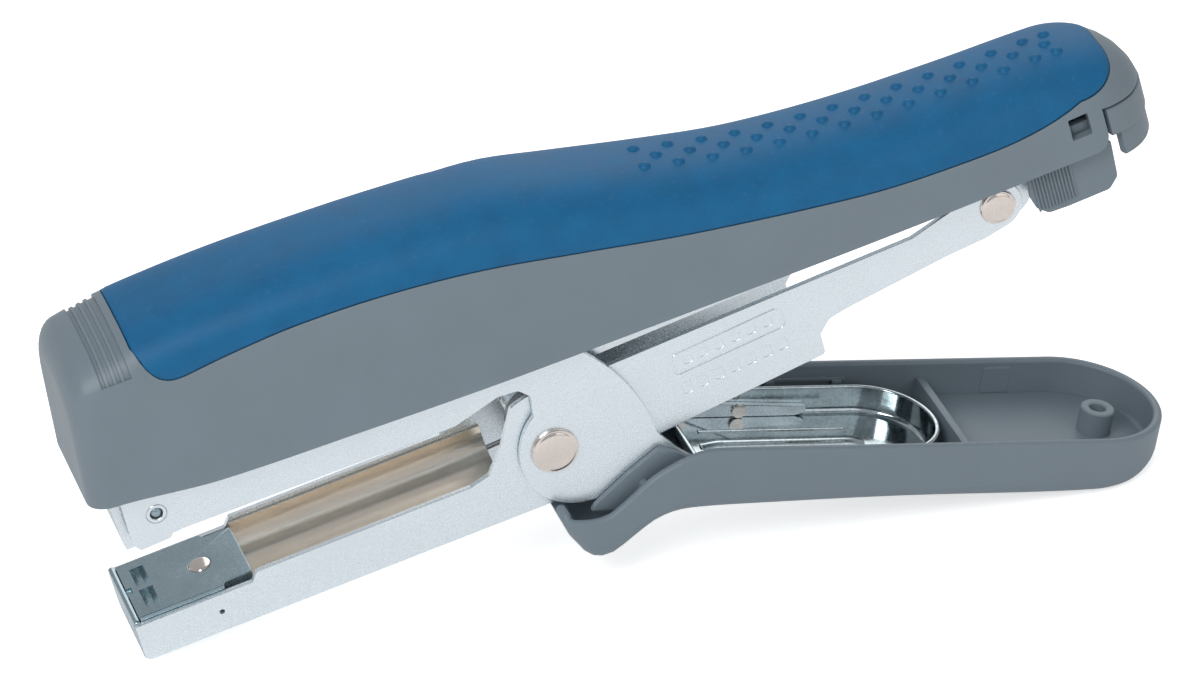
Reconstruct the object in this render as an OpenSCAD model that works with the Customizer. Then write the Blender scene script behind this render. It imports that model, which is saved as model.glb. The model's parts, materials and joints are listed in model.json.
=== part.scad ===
// Plier stapler: two crossing levers on one rivet, a rear-loaded magazine and a driver handle on top.
// +X runs from the nose to the rear, +Z is up and Y = 0 is the middle plane.
// The origin is on the standing surface, under the middle of the whole stapler.

/* [Staples] */
// Outside width of a staple's crown
staple_crown = 12.7; // [10:0.1:15.5]
// Length of a staple's legs
staple_leg = 9.5; // [8:0.1:11.4]
// Length of the stick of staples in the magazine
strip_len = 52; // [30:1:62]
// Thickness of the staple wire
wire_t = 0.6; // [0.5:0.05:0.75]

/* [Sheet metal] */
// Thickness of the frame and arm plates
plate_t = 1.2; // [1:0.1:1.5]
// Side clearance between plates that slide past each other
side_gap = 0.3; // [0.25:0.05:0.45]
// Thickness of the magazine's walls
channel_t = 1; // [0.8:0.05:1.25]

/* [Levers] */
// Distance from the pivot rivet to the magazine pin in the nose
nose_reach = 76.8; // [72:0.5:92]
// Distance from the pivot rivet to the tail rivet
tail_reach = 95.1; // [90:0.5:100]
// Radius of the pivot rivet's shank
pivot_r = 3; // [2.5:0.1:3.6]
// Radius of the pivot rivet's heads
pivot_head_r = 4.6; // [4.2:0.1:5.5]
// Radius of the tail rivet's shank
tail_r = 2; // [1.7:0.1:2.4]
// Radius of the tail rivet's heads
tail_head_r = 3.5; // [3:0.1:4.2]
// Height of the anvil arm's side walls
jaw_h = 10; // [8.6:0.1:12]
// Distance from the pivot rivet to the jaw's front face
jaw_reach = 84.8; // [82:0.5:90]

/* [Upper handle] */
// Thickness of the moulded handle's walls
cover_wall = 1.8; // [1.5:0.1:2.2]
// Gap between the frame plates and the handle's skirt
skirt_gap = 1.4; // [1.2:0.1:1.7]
// Thickness of the soft grip
grip_t = 1; // [0.8:0.05:1.2]

/* [Lower handle] */
// Length of the lower handle behind the pivot rivet
handle_len = 128.5; // [110:0.5:154]
// Width of the lower handle
handle_w = 34; // [33:0.5:41]
// Thickness of the lower handle's walls
handle_wall = 1.8; // [1.5:0.1:2.2]
// Radius of the hanging hole in the lower handle
hang_r = 1.6; // [1.3:0.1:2]

/* [Hidden] */
$fn = 48;

// Clearances
run_gap = 0.05;
fit_gap = 0.1;
loose_gap = 0.5;

// Half widths, from the middle plane outwards
staple_half = staple_crown / 2;
core_half = staple_half - wire_t - fit_gap;
guide_half = staple_half + 0.25;
mag_half = guide_half + 1.4 + channel_t;
arm_in = mag_half + side_gap;
arm_half = arm_in + plate_t;
frame_in = arm_half + side_gap;
frame_half = frame_in + plate_t;
head_t = 1.3;
cover_in = frame_half + skirt_gap;
cover_half = cover_in + cover_wall;
handle_half = handle_w / 2;

// Tilts of the three levers from the stapler's long axis, and of the whole stapler as it stands
mag_tilt = 13.5;
jaw_tilt = 11.8;
handle_tilt = 11.4;
stance_tilt = 0.9;

// Rivets that join the plates' legs to the lower handle's channel
leg_rivets = [34, 46];
leg_rivet_v = -5.6;
leg_rivet_r = 1;

// Side-view places, [x, z] from the pivot rivet
pin_at = nose_reach * [-cos(2.6), sin(2.6)];
tail_at = tail_reach * [cos(20.3), sin(20.3)];

// Magazine, [u, v] along and across it from the magazine pin
mag_low = -7;
mag_high = 6.4;
mag_rear = 190;
nose_front = -7.4;
blade_u = -5.3;
blade_t = 0.6;
strip_u = -4;
crown_v = mag_low + channel_t + staple_leg + 0.3;
rod_v = -1;
rod_r = 0.7;
pusher_len = 12;
pusher_travel = 50;
hinge_at = [179, 2.5];
spring_u = 30;
hinge_r = 1.4;
pin_r = 2;
tail_uv = turn(tail_at - pin_at, -mag_tilt);
slot_slip = 2.8;
slot_gap = 0.1;
seat_v = crown_v + 0.5;
seat_t = 0.8;
lip_t = 0.45;
inner_top = 0.9;
lip_top = 3.7;

// Release pads, from the middle plane outwards
pad_in = arm_half + 1.2;
pad_out = cover_in - 0.4;

// Upper handle, [u, v] in the magazine's frame
nose_u = -11.2;
nose_lean = 2.6;
end_u = cover_end_u();
lid_round = cover_half;
pad_rear = end_u - lid_round + 0.6;
TOP_LINE = [[-11.2, 35], [4, 36.6], [25, 37], [50, 35.8], [70, 34], [80.5, 32.5], [92, 29], [110, 23.4],
    [126, 19], [146, 15.8], [168, 13.9], [186, 12.6], [196, 10.2], [204, 6]];
SKIRT_LINE = [[-11.2, 7.4], [13, 3.7], [40, 1.5], [68, -0.4], [100, -1.8], [144, -3.5], [190, -4.4], [204, -4.6]];
GRIP_LINE = [[9, 32], [11, 28.6], [36, 28.7], [53, 27.3], [71, 24.3], [90, 19.4], [112, 13.6], [143, 7.2],
    [160, 5.4], [177, 5.2], [191.4, 8.3], [197, 13.6]];
band_low = 45.6;
band_high = 52.2;

// Standing place: the lowest corner touches z = 0 and the long axis is centred
jaw_corner = stand([jaw_point([-jaw_reach, -jaw_low()])]);
heel = stand([handle_point([handle_len - 16, -10.3])]);
base_z = -min(jaw_corner[0][1], heel[0][1]);
front_x = stand([top_point([-8.9, 29])])[0][0];
rear_x = stand([handle_point([handle_len, 1.8])])[0][0];
shift_x = -(front_x + rear_x) / 2;

// ---- helpers -------------------------------------------------------------------------------

function turn(p, a) = [p[0] * cos(a) - p[1] * sin(a), p[0] * sin(a) + p[1] * cos(a)];
function arc(c, r, a0, a1, n = 10) =
    [for (i = [0:n]) c + r * [cos(a0 + (a1 - a0) * i / n), sin(a0 + (a1 - a0) * i / n)]];
function jaw_low() = jaw_h + 2.3;
function cover_end_u() = 203.2;
function top_point(p) = pin_at + turn(p, mag_tilt);
function jaw_point(p) = turn(p, jaw_tilt);
function handle_point(p) = turn(p, -handle_tilt);
function stand(points) = [for (p = points) turn(p, stance_tilt)];

// Value of a smooth line through [place, value] pairs
function slope(t, i) = i <= 0 || i >= len(t) - 1 ? 0 : (t[i + 1][1] - t[i - 1][1]) / (t[i + 1][0] - t[i - 1][0]);
function seg(t, x, i = 0) = i >= len(t) - 2 || x < t[i + 1][0] ? i : seg(t, x, i + 1);
function along(t, x) = let (i = seg(t, x), h = t[i + 1][0] - t[i][0], s = min(1, max(0, (x - t[i][0]) / h)))
    (2 * s^3 - 3 * s^2 + 1) * t[i][1] + (s^3 - 2 * s^2 + s) * h * slope(t, i)
    + (3 * s^2 - 2 * s^3) * t[i + 1][1] + (s^3 - s^2) * h * slope(t, i + 1);

// A side-view outline given thickness t, from y0 towards +Y
module slab(y0, t) translate([0, y0 + t, 0]) rotate([90, 0, 0]) linear_extrude(t) children();
// The same slab on both sides of the middle plane
module both_slabs(inner, t) {
    slab(inner, t) children();
    slab(-inner - t, t) children();
}
// A round bar or bore along Y
module y_bar(p, r, y0, y1) translate([p[0], y0, p[1]]) rotate([-90, 0, 0]) cylinder(r = r, h = y1 - y0);
module y_block(u0, u1, v0, v1, y0, y1) translate([u0, y0, v0]) cube([u1 - u0, y1 - y0, v1 - v0]);

// Frames of the levers
module standing() translate([shift_x, 0, base_z]) rotate([0, -stance_tilt, 0]) children();
module top_frame() standing() translate([pin_at[0], 0, pin_at[1]]) rotate([0, -mag_tilt, 0]) children();
module jaw_frame() standing() rotate([0, -jaw_tilt, 0]) children();
module handle_frame() standing() rotate([0, handle_tilt, 0]) children();

// ---- frame and lower handle ----------------------------------------------------------------

// Side view of a frame plate: nose cheek, pivot disc and the leg inside the lower handle
module frame_outline() {
    cheek = top_point([-6.2, -6]);
    step = top_point([1, -6.2]);
    polygon(concat(
        [cheek + [-0.2, 1.4], cheek + [1.2, 0]],
        [step, step + [0.4, 0.9], step + [2.4, 1.5]],
        [[-19, 9.4], [-14.5, 11.8], [-10.5, 13.9], [-6.6, 14.4], [-4.2, 12.6]],
        arc([6, -0.2], 12.8, 140, 265, 14),
        [for (p = [[10, -11], [28.4, -9.2], [30, -7.1], [58, -7.1], [60, -6.4], [60, -5], [31, -3.8], [25, -0.6]])
            handle_point(p)],
        arc([-18.2, -11.6], 40, 15.5, 56, 8),
        [[-2, 22.6], top_point([10, 5.4]), top_point([-5.6, 5.6])]
    ));
}

module frame_plate(side) color("gainsboro") standing() difference() {
    slab(side > 0 ? frame_in : -frame_half, plate_t) frame_outline();
    y_bar([0, 0], pivot_r, -frame_half - 1, frame_half + 1);
    y_bar(pin_at, pin_r, -frame_half - 1, frame_half + 1);
    for (u = leg_rivets) y_bar(handle_point([u, leg_rivet_v]), leg_rivet_r, -frame_half - 1, frame_half + 1);
}
module left_frame_plate() frame_plate(-1);
module right_frame_plate() frame_plate(1);

module pivot_rivet() color("rosybrown") standing() {
    y_bar([0, 0], pivot_r, -frame_half - head_t / 2, frame_half + head_t / 2);
    for (side = [-1, 1]) scale([1, side, 1]) y_bar([0, 0], pivot_head_r, frame_half, frame_half + head_t);
}

module pivot_spacer() color("silver") standing() difference() {
    y_bar([0, 0], pivot_r + 1.2, -arm_in + side_gap, arm_in - side_gap);
    y_bar([0, 0], pivot_r + run_gap, -arm_in, arm_in);
}

// Torsion spring round the spacer: close-wound turns, one leg to the handle and one to the jaw
module opening_spring() color("dimgray") standing() {
    wire_r = 0.5;
    coil_r = pivot_r + 1.2 + 0.3 + wire_r;
    turns = 6;
    pitch = 2 * wire_r + 0.1;
    edge = pitch * (turns - 1) / 2;
    for (i = [0:turns - 1]) translate([0, i * pitch - edge, 0]) rotate([90, 0, 0])
        rotate_extrude() translate([coil_r, 0]) circle(r = wire_r, $fn = 16);
    // spacing bars keep the turns together
    for (a = [0, 180]) rotate([0, a, 0]) translate([coil_r, -edge, 0]) rotate([-90, 0, 0])
        cylinder(r = wire_r * 0.5, h = 2 * edge, $fn = 16);
    rotate([0, 40, 0]) translate([coil_r, edge, 0]) rotate([0, 90, 0]) cylinder(r = wire_r * 0.9, h = 15, $fn = 16);
    rotate([0, -194, 0]) translate([coil_r, -edge, 0]) rotate([0, 90, 0]) cylinder(r = wire_r * 0.9, h = 14, $fn = 16);
}

module nose_pins() color("silver") standing() for (side = [-1, 1]) scale([1, side, 1]) difference() {
    y_bar(pin_at, pin_r, guide_half + 0.2, frame_half);
    y_bar(pin_at, 1, frame_half - 0.5, frame_half + 0.5);
}

// Side view of the lower handle's outer skin, drawn in by d
function handle_profile(d) = concat(
    [[1.2 + d, -9.2], [2.6 + d, -13]],
    [[5 + d, -16.8]],
    arc([11.4, -17.4], 4.5 - d, 205, 300, 6),
    [[17.6 - d / 2, -17.4 + d], [21, -14.3 + d], [25.5, -12.2 + d], [31, -11.5 + d], [40, -11.2 + d]],
    [[handle_len - 58, -10.4 + d], [handle_len - 24, -10.3 + d], [handle_len - 9, -9.4 + d]],
    [[handle_len - 3 - d / 2, -6.5 + d], [handle_len - d, -1]]
);

// Plan view of the lower handle, drawn in by d
module handle_plan(d) {
    half = handle_half - d;
    polygon(concat([[-4, half], [-4, -half]], arc([handle_len - handle_half, 0], half, -90, 90, 18)));
}

rim_v = 1.8;
module handle_rim_cut() {
    // Top edge of the side walls: low beside the pivot disc, then rising to the straight rim
    polygon(concat([[-6, -8.6], [1, -9.4]], arc([6, 0.8], 14.4, 232, 292, 6),
        [[18.8, -4.4], [24, -0.6], [31, rim_v], [handle_len + 5, rim_v], [handle_len + 5, 30], [-6, 30]]));
}

module lower_handle_shell() color("slategray") handle_frame() {
    divider_u = 84;
    floor_v = -5.4;
    bead_u = handle_len - 12;
    difference() {
        intersection() {
            slab(-handle_half, handle_w) polygon(concat(handle_profile(0), [[handle_len, 4], [1.2, 4]]));
            translate([0, 0, -30]) linear_extrude(40) handle_plan(0);
        }
        // open inside, in front of the divider
        difference() {
            intersection() {
                slab(-handle_half, handle_w)
                    polygon(concat(handle_profile(handle_wall), [[handle_len - handle_wall, 10], [-4, 10], [-4, -9.2]]));
                translate([0, 0, -30]) linear_extrude(50) handle_plan(handle_wall);
            }
            translate([divider_u, -handle_half, -30]) cube([handle_len, handle_w, 30 + floor_v]);
            translate([divider_u, -handle_half, -30]) cube([handle_wall, handle_w, 28.4]);
            translate([bead_u, 0, -12]) cylinder(r = hang_r + 1.8, h = 12.6);
        }
        slab(-handle_half - 1, handle_w + 2) handle_rim_cut();
        // way through for the jaw, between the frame plates
        y_block(-6, 16, -13.6, 10, -frame_half - fit_gap, frame_half + fit_gap);
        translate([bead_u, 0, -20]) cylinder(r = hang_r, h = 30);
    }
    // inner walls beside the frame plates, up to the plates' slanted lower edge
    both_slabs(frame_half + fit_gap, 1.3) polygon([[9, -13], [9.5, -11.6], [15, -5], [20.5, 1], [24.4, -0.4],
        [30, -2.8], [30, -11.4], [20, -12.6]]);
}

// Pressed steel channel that stiffens the lower handle
module handle_channel() color("lightsteelblue") handle_frame() {
    u0 = 30.6;
    u1 = 82.6;
    inner = frame_half + run_gap;
    half = inner + 1.1;
    v0 = -8.2;
    difference() {
        union() {
            y_block(u0, u1 - half, v0, -1.4, -half, half);
            intersection() {
                translate([u1 - half, 0, v0]) cylinder(r = half, h = -1.4 - v0);
                y_block(u1 - half - 1, u1 + 1, v0 - 1, 0, -half - 1, half + 1);
            }
        }
        y_block(u0 - 1, u1 - half, v0 + 1, 2, -inner, inner);
        intersection() {
            translate([u1 - half, 0, v0 + 1]) cylinder(r = inner, h = 10);
            y_block(u1 - half - 1, u1 + 1, v0 - 1, 10, -half - 1, half + 1);
        }
        for (u = leg_rivets) y_bar([u, leg_rivet_v], leg_rivet_r, -half - 1, half + 1);
    }
    // stiffening bead along the floor
    intersection() {
        translate([u0 + 3, 0, v0 + 0.6]) rotate([0, 90, 0]) cylinder(r = 2.4, h = u1 - u0 - half);
        y_block(u0, u1, v0 + 0.5, 0, -3, 3);
    }
}

// Rivets that join the plates' legs to the channel's walls
module handle_rivets() color("silver") handle_frame()
    for (u = leg_rivets, side = [-1, 1]) scale([1, side, 1]) {
        y_bar([u, leg_rivet_v], leg_rivet_r, frame_in - 0.3, frame_half + 1.5);
        y_bar([u, leg_rivet_v], 1.45, frame_in - 0.6, frame_in);
        y_bar([u, leg_rivet_v], 1.6, frame_half + run_gap + 1.1, frame_half + 1.9);
    }

// ---- anvil arm -----------------------------------------------------------------------------

module arm_outline() {
    top_v = -2.3;
    polygon(concat(
        [for (p = [[-jaw_reach, -jaw_low()], [-4, -jaw_low()]]) jaw_point(p)],
        arc([0, 0], jaw_low(), -78, -30, 6),
        [[21.2, -2.2], [54.6, 8.2], [53.6, 12.6], [55.4, 15.6], [59, 17.2], [79, 24.2], tail_at + [-2.6, -6.6]],
        arc(tail_at, 5, -70, 118, 12),
        [tail_at + [-9, 1], [72, 29.6], [11.5, 15]],
        arc([0, 0], 12.6, 60, 128, 6),
        [for (p = [[-9.5, 3.6], [-13, -1.2], [-17, top_v], [-60, top_v], [-61.4, -4.2], [-jaw_reach, -4.2]]) jaw_point(p)]
    ));
}

// Pressed arm: jaw channel in front of the pivot and two tail plates behind it
module anvil_arm() color("gainsboro") standing() difference() {
    union() {
        both_slabs(arm_in, plate_t) arm_outline();
        rotate([0, -jaw_tilt, 0]) {
            y_block(-jaw_reach, -12, -jaw_low(), -jaw_low() + plate_t, -arm_in - 0.1, arm_in + 0.1);
            y_block(-jaw_reach, -jaw_reach + plate_t, -jaw_low(), -4.2, -arm_in - 0.1, arm_in + 0.1);
        }
    }
    y_bar([0, 0], pivot_r + run_gap, -20, 20);
    y_bar(tail_at, tail_r, -20, 20);
    rotate([0, -jaw_tilt, 0]) y_bar([-68.5, -8], 0.8, -20, 20);
}

anvil_top = -3.4;
anvil_t = 2.2;
rivet_u = -68.9;
// Hardened plate with the two pockets that fold a staple's legs
module anvil_plate() color("lightslategray") jaw_frame() difference() {
    y_block(-jaw_reach + plate_t + fit_gap, -60.6, anvil_top - anvil_t, anvil_top, -arm_in + fit_gap, arm_in - fit_gap);
    for (side = [-1, 1]) translate([-79.6, side * (staple_half + 0.8) / 2, anvil_top + 1.4]) rotate([90, 0, 0])
        cylinder(r = 2, h = (staple_half + 0.8) * 0.86, center = true);
    translate([rivet_u, 0, -20]) cylinder(r = 2.2, h = 30);
}
module anvil_rivet() color("rosybrown") jaw_frame() {
    translate([rivet_u, 0, -jaw_low() + plate_t]) cylinder(r = 2.2, h = jaw_low() - plate_t + anvil_top + 0.3);
}

// Bright trough that lines the jaw behind the anvil plate
module jaw_liner() color("tan") jaw_frame() {
    half = arm_in - fit_gap;
    floor_v = -jaw_low() + plate_t + 1.3;
    t = 0.5;
    translate([-60, 0, 0]) rotate([90, 0, 90]) linear_extrude(44) polygon(concat(
        [[-half, -3]], arc([-half + 4, floor_v + 4], 4, 180, 270, 6), arc([half - 4, floor_v + 4], 4, 270, 360, 6),
        [[half, -3], [half - t, -3]], arc([half - 4, floor_v + 4], 4 - t, 360, 270, 6),
        arc([-half + 4, floor_v + 4], 4 - t, 270, 180, 6), [[-half + t, -3]]));
}

module tail_rivet() color("rosybrown") standing() {
    y_bar(tail_at, tail_r, -arm_half, arm_half);
    for (side = [-1, 1]) scale([1, side, 1]) y_bar(tail_at, tail_head_r, arm_half, arm_half + 1);
}

// ---- magazine ------------------------------------------------------------------------------

module magazine_channel() color("whitesmoke") top_frame() difference() {
    union() {
        y_block(strip_u, mag_rear, mag_low, mag_low + channel_t, -mag_half, mag_half);
        for (side = [-1, 1]) scale([1, side, 1]) {
            y_block(nose_front, mag_rear, mag_low, mag_high, mag_half - channel_t, mag_half);
            y_block(strip_u, 112, mag_low, crown_v - 1, guide_half, mag_half);
        }
    }
    y_bar([0, 0], pin_r + run_gap, -20, 20);
    y_bar(hinge_at, hinge_r, -20, 20);
    // ways through the floor for the rear bracket's lugs
    for (side = [-1, 1]) scale([1, side, 1]) y_block(lug_u0 - run_gap, lug_u1 + run_gap, mag_low - 1,
        mag_low + channel_t + 1, lug_in - run_gap, lug_in + lug_t);
}

// Rail that the staples straddle
module core_rail() color("silver") top_frame() difference() {
    y_block(strip_u + 0.4, 170, mag_low + channel_t, crown_v - wire_t - fit_gap, -core_half, core_half);
    y_block(strip_u + 2.4, 171, mag_low + channel_t + 1, crown_v + 1, -core_half + 1, core_half - 1);
}

// Front guide that the driver slides behind
module nose_block() color("silver") top_frame()
    y_block(nose_front, blade_u - 0.8, mag_low, crown_v + 0.6, -mag_half + channel_t, mag_half - channel_t);

// Lugs through the magazine's floor, with the slot for the tail rivet
lug_t = 1.2;
lug_in = mag_half - channel_t - lug_t;
lug_u0 = tail_uv[0] - 7;
lug_u1 = tail_uv[0] + slot_slip + 5;
module rear_bracket() color("whitesmoke") top_frame() difference() {
    union() {
        both_slabs(lug_in, lug_t)
            polygon(concat(arc(tail_uv + [slot_slip, 0], 5, -90, 0, 6), [[lug_u1, mag_low + 4], [lug_u0, mag_low + 4]],
                arc(tail_uv, 5, 180, 270, 6)));
        y_block(lug_u0, lug_u1, mag_low + channel_t, mag_low + channel_t + 1, core_half + fit_gap, lug_in + 0.2);
        y_block(lug_u0, lug_u1, mag_low + channel_t, mag_low + channel_t + 1, -lug_in - 0.2, -core_half - fit_gap);
    }
    for (s = [0, slot_slip]) y_bar(tail_uv + [s, 0], tail_r + slot_gap, -20, 20);
    y_block(tail_uv[0], tail_uv[0] + slot_slip, tail_uv[1] - tail_r - slot_gap, tail_uv[1] + tail_r + slot_gap, -20, 20);
}

// Bridge over the staples that the lift spring stands on
module spring_seat() color("whitesmoke") top_frame() difference() {
    y_block(spring_u - 5, spring_u + 5, seat_v, seat_v + seat_t, -mag_half + channel_t, mag_half - channel_t);
    translate([spring_u, 0, seat_v - 1]) cylinder(r = 1.5, h = 3);
}

// Stubs that the upper handle swings on
module hinge_studs() color("silver") top_frame() for (side = [-1, 1]) scale([1, side, 1]) {
    y_bar(hinge_at, hinge_r, mag_half - channel_t - 0.4, cover_in - 0.4);
    y_bar(hinge_at, hinge_r + 0.8, mag_half - channel_t - 0.8, mag_half - channel_t);
}

// Stick of glued staples over the core rail
module staple_strip() color("lightgray") top_frame() difference() {
    y_block(strip_u, strip_u + strip_len, crown_v - staple_leg, crown_v, -staple_half, staple_half);
    y_block(strip_u - 1, strip_u + strip_len + 1, crown_v - staple_leg - 1, crown_v - wire_t,
        -staple_half + wire_t, staple_half - wire_t);
}

// ---- drawer --------------------------------------------------------------------------------

module band_prism(z0, z1) {
    // level slab between two heights above the pivot rivet, in the magazine's frame
    rotate([0, mag_tilt, 0]) translate([-pin_at[0], 0, -pin_at[1]]) translate([60, -40, z0]) cube([80, 80, z1 - z0]);
}
module plan_end(d) translate([0, 0, -40]) linear_extrude(80) {
    half = cover_half - d;
    polygon(concat([[mag_rear - 60, half], [mag_rear - 60, -half]], arc([end_u - lid_round, 0], half, -90, 90, 18)));
}

// Rear cap of the loading drawer, with its hooked lip and the arms that carry the release pads
module end_cap() color("lightslategray") top_frame() {
    seam_u = 192.2;
    difference() {
        intersection() {
            plan_end(0);
            union() {
                band_prism(band_low, band_high - 0.4);
                intersection() {
                    band_prism(40.6, band_low + 0.1);
                    y_block(194, 206, -30, 30, -cover_half, cover_half);
                }
            }
            y_block(seam_u, 210, -30, 20, -30, 30);
        }
        intersection() {
            plan_end(cover_wall);
            y_block(seam_u - 1, end_u - 4, -30, 3, -30, 30);
        }
        intersection() {
            plan_end(lip_t);
            y_block(seam_u - 1, end_u + 4, inner_top, 30, -30, 30);
        }
    }
    // stand that holds the pusher rod
    difference() {
        union() {
            y_block(193.6, 196, -3, inner_top, -4, 4);
            y_block(193.6, 200.5, -3.4, -2.2, -4, 4);
        }
        translate([190, 0, rod_v]) rotate([0, 90, 0]) cylinder(r = rod_r, h = 5);
    }
    for (side = [-1, 1]) scale([1, side, 1]) y_block(179, 197.5, -4, 0.4, mag_half + 0.4, arm_half);
}

module pusher_rod() color("silver") top_frame()
    translate([strip_u + 20, 0, rod_v]) rotate([0, 90, 0]) cylinder(r = rod_r, h = 195 - strip_u - 20);

pusher_u = strip_u + strip_len + fit_gap;
module pusher_spring() color("dimgray") top_frame() {
    wire_r = 0.25;
    coil_r = rod_r + 0.1 + wire_r;
    from = pusher_u + pusher_len + 0.2;
    turns = 34;
    pitch = (193.2 - from) / turns;
    for (i = [0.5:turns]) translate([from + i * pitch, 0, rod_v]) rotate([0, 90, 0])
        rotate_extrude($fn = 24) translate([coil_r, 0]) circle(r = wire_r, $fn = 6);
}

// Block on the rod that pushes the staples forward
module pusher() color("darkslategray") top_frame() difference() {
    y_block(pusher_u, pusher_u + pusher_len, mag_low + channel_t + 1.1, crown_v + 1, -staple_half + 0.1, staple_half - 0.1);
    // slots for the core rail's two walls
    for (side = [-1, 1]) scale([1, side, 1]) y_block(pusher_u - 1, pusher_u + pusher_len + 1, mag_low,
        crown_v - wire_t + 0.1, core_half - 1 - fit_gap, core_half + fit_gap);
    y_block(pusher_u - 1, pusher_u + pusher_len + 1, mag_low, rod_v - 2, -core_half, core_half);
    translate([pusher_u - 1, 0, rod_v]) rotate([0, 90, 0]) cylinder(r = rod_r + run_gap, h = pusher_len + 2);
}

// Ribbed pad that is pinched to free the drawer, with a catch behind the handle's square window
module release_pad(side) color("lightslategray") top_frame() scale([1, side, 1]) difference() {
    union() {
        slab(pad_in, pad_out - pad_in) polygon(concat([[174.8, -4.9], [174.6, -11]],
            arc([177.4, -12], 2.8, 180, 275, 5), [[189.6, -15], [191.6, -13], [192.2, -4.9]]));
        slab(pad_in, pad_out - pad_in) polygon([[pad_rear - 4.6, -5], [pad_rear, -5], [pad_rear, 2.2], [pad_rear - 4.6, 2.2]]);
        y_block(pad_rear - 3.6, pad_rear - 0.8, 0.3, 2.2, pad_out - 0.5, pad_out + fit_gap);
    }
    for (i = [0:11]) y_block(175.4 + 1.3 * i, 176 + 1.3 * i, -30, -4.9, pad_out - 0.4, pad_out + 1);
    // relief beside the tail rivet's head
    y_block(170, 176.4, -30, 10, pad_in - 1, pad_in + 0.8);
}
module left_release_pad() release_pad(-1);
module right_release_pad() release_pad(1);

// ---- upper handle --------------------------------------------------------------------------

// Half width of the handle's plan view: rounded nose corners and a round rear end
function plan_half(u, d) = let (
    nose_r = 4.5, w = cover_half - d, from_nose = u - nose_u - d, c = end_u - lid_round)
    from_nose < nose_r ? w - nose_r + sqrt(max(0, nose_r^2 - (nose_r - from_nose)^2))
    : u > c ? sqrt(max(0.04, w^2 - (u - c)^2)) : w;

// One cross-section of the handle, drawn in by d and open downwards to its skirt
function cover_ring(u, d) = let (
    w = plan_half(u, d), n = u < 70 ? 3 - 0.6 * max(0, u) / 70 : 2.3,
    nose = max(0, 1 - (u - nose_u - d) / 5), top = along(TOP_LINE, u) - d - 5 * nose^2,
    low = d > grip_t + 2 * run_gap ? -12 : along(SKIRT_LINE, u), c = min(10, top - low - 0.5), m = 6)
    concat([[w, low]], [for (i = [0:m]) [w * cos(90 * i / m)^(2 / n), top - c + c * sin(90 * i / m)^(2 / n)]],
        [for (i = [m - 1:-1:0]) [-w * cos(90 * i / m)^(2 / n), top - c + c * sin(90 * i / m)^(2 / n)]], [[-w, low]]);

// Solid skinned over the cross-sections, with the nose face leaning back at its top
module cover_loft(d) {
    c = end_u - lid_round;
    stations = concat([for (i = [0:3]) nose_u + d + 4.5 * (1 - cos(90 * i / 3))],
        [for (i = [1:17]) nose_u + d + 4.5 + (c - nose_u - d - 4.5) * i / 17],
        [for (i = [1:6]) c + (lid_round - d - 0.3) * sin(90 * i / 6)]);
    rings = [for (u = stations) cover_ring(u, d)];
    n = len(rings[0]);
    points = [for (k = [0:len(stations) - 1], p = rings[k])
        [stations[k] + nose_lean * max(0, 1 - (stations[k] - nose_u) / 20) * max(-0.6, p[1] - 8) / 20, p[0], p[1]]];
    sides = [for (k = [0:len(stations) - 2], j = [0:n - 1], half = [0, 1])
        let (a = k * n + j, b = k * n + (j + 1) % n) half == 0 ? [a, b + n, b] : [a, a + n, b + n]];
    last = (len(stations) - 1) * n;
    ends = [for (j = [1:n - 2], far = [0, 1]) far == 0 ? [0, j, j + 1] : [last, last + j + 1, last + j]];
    polyhedron(points, concat(sides, ends),
        convexity = 6);
}

// Everything above the lower edge of the soft grip
module grip_region() slab(-cover_half - 1, 2 * cover_half + 2) polygon(concat(
    [[5.4, 60], [5.4, 36]], [for (i = [0:32]) let (u = 9 + 188 * i / 32) [u, along(GRIP_LINE, u)]], [[200, 60]]));

module upper_handle_shell() color("slategray") top_frame() difference() {
    cover_loft(0);
    difference() {
        grip_region();
        cover_loft(grip_t);
    }
    cover_loft(cover_wall);
    // room for the end cap behind the level seam, and for its lip as the drawer slides out
    difference() {
        band_prism(20, band_high);
        y_block(100, 191.6, -60, 60, -60, 60);
    }
    difference() {
        y_block(191.6, 210, -20, lip_top, -30, 30);
        plan_end(lip_t + 0.05);
    }
    for (side = [-1, 1]) scale([1, side, 1]) y_block(184.3, 188.9, -0.5, 4.1, cover_in - 2, cover_half + 2);
}

module grip_overmould() color("royalblue") top_frame() intersection() {
    difference() {
        cover_loft(0);
        cover_loft(grip_t - run_gap);
    }
    grip_region();
}

// Bosses on the handle's inner walls that turn on the hinge studs
module hinge_bushes() color("dimgray") top_frame() for (side = [-1, 1]) scale([1, side, 1]) difference() {
    y_bar(hinge_at, hinge_r + 1.8, arm_half + 0.4, cover_in - 1.1);
    y_bar(hinge_at, hinge_r + run_gap, 0, 20);
}

// Steel stiffener under the handle's roof
module handle_spine() color("silver") top_frame() difference() {
    slab(-7, 14) polygon([[blade_u + blade_t + 0.02, 16.5], [blade_u + blade_t + 0.02, 23], [20, 23.4], [80, 17.6],
        [110, 14.4], [150, 11.4], [172, 9.8], [172, 8.8], [150, 9.6], [80, 13.5], [20, 16.5]]);
    driver_rivet_bars(-1, 3.4);
}

// Blade that drives one staple out of the nose
module driver_blade() color("silver") top_frame() difference() {
    y_block(blade_u, blade_u + blade_t, crown_v + 0.6, 22, -staple_half + 0.1, staple_half - 0.1);
    driver_rivet_bars(-1, 3);
}

module driver_rivet_bars(start, len) for (side = [-1, 1])
    translate([blade_u + start, side * 3.4, 19]) rotate([0, 90, 0]) cylinder(r = 1.5, h = len + 0.6);
module driver_rivets() color("silver") top_frame() {
    intersection() {
        driver_rivet_bars(-1, 3);
        y_block(blade_u, blade_u + 3, 10, 30, -10, 10);
    }
    for (side = [-1, 1]) translate([blade_u - 0.6, side * 3.4, 19]) rotate([0, 90, 0]) cylinder(r = 2.1, h = 0.6);
}

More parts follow.
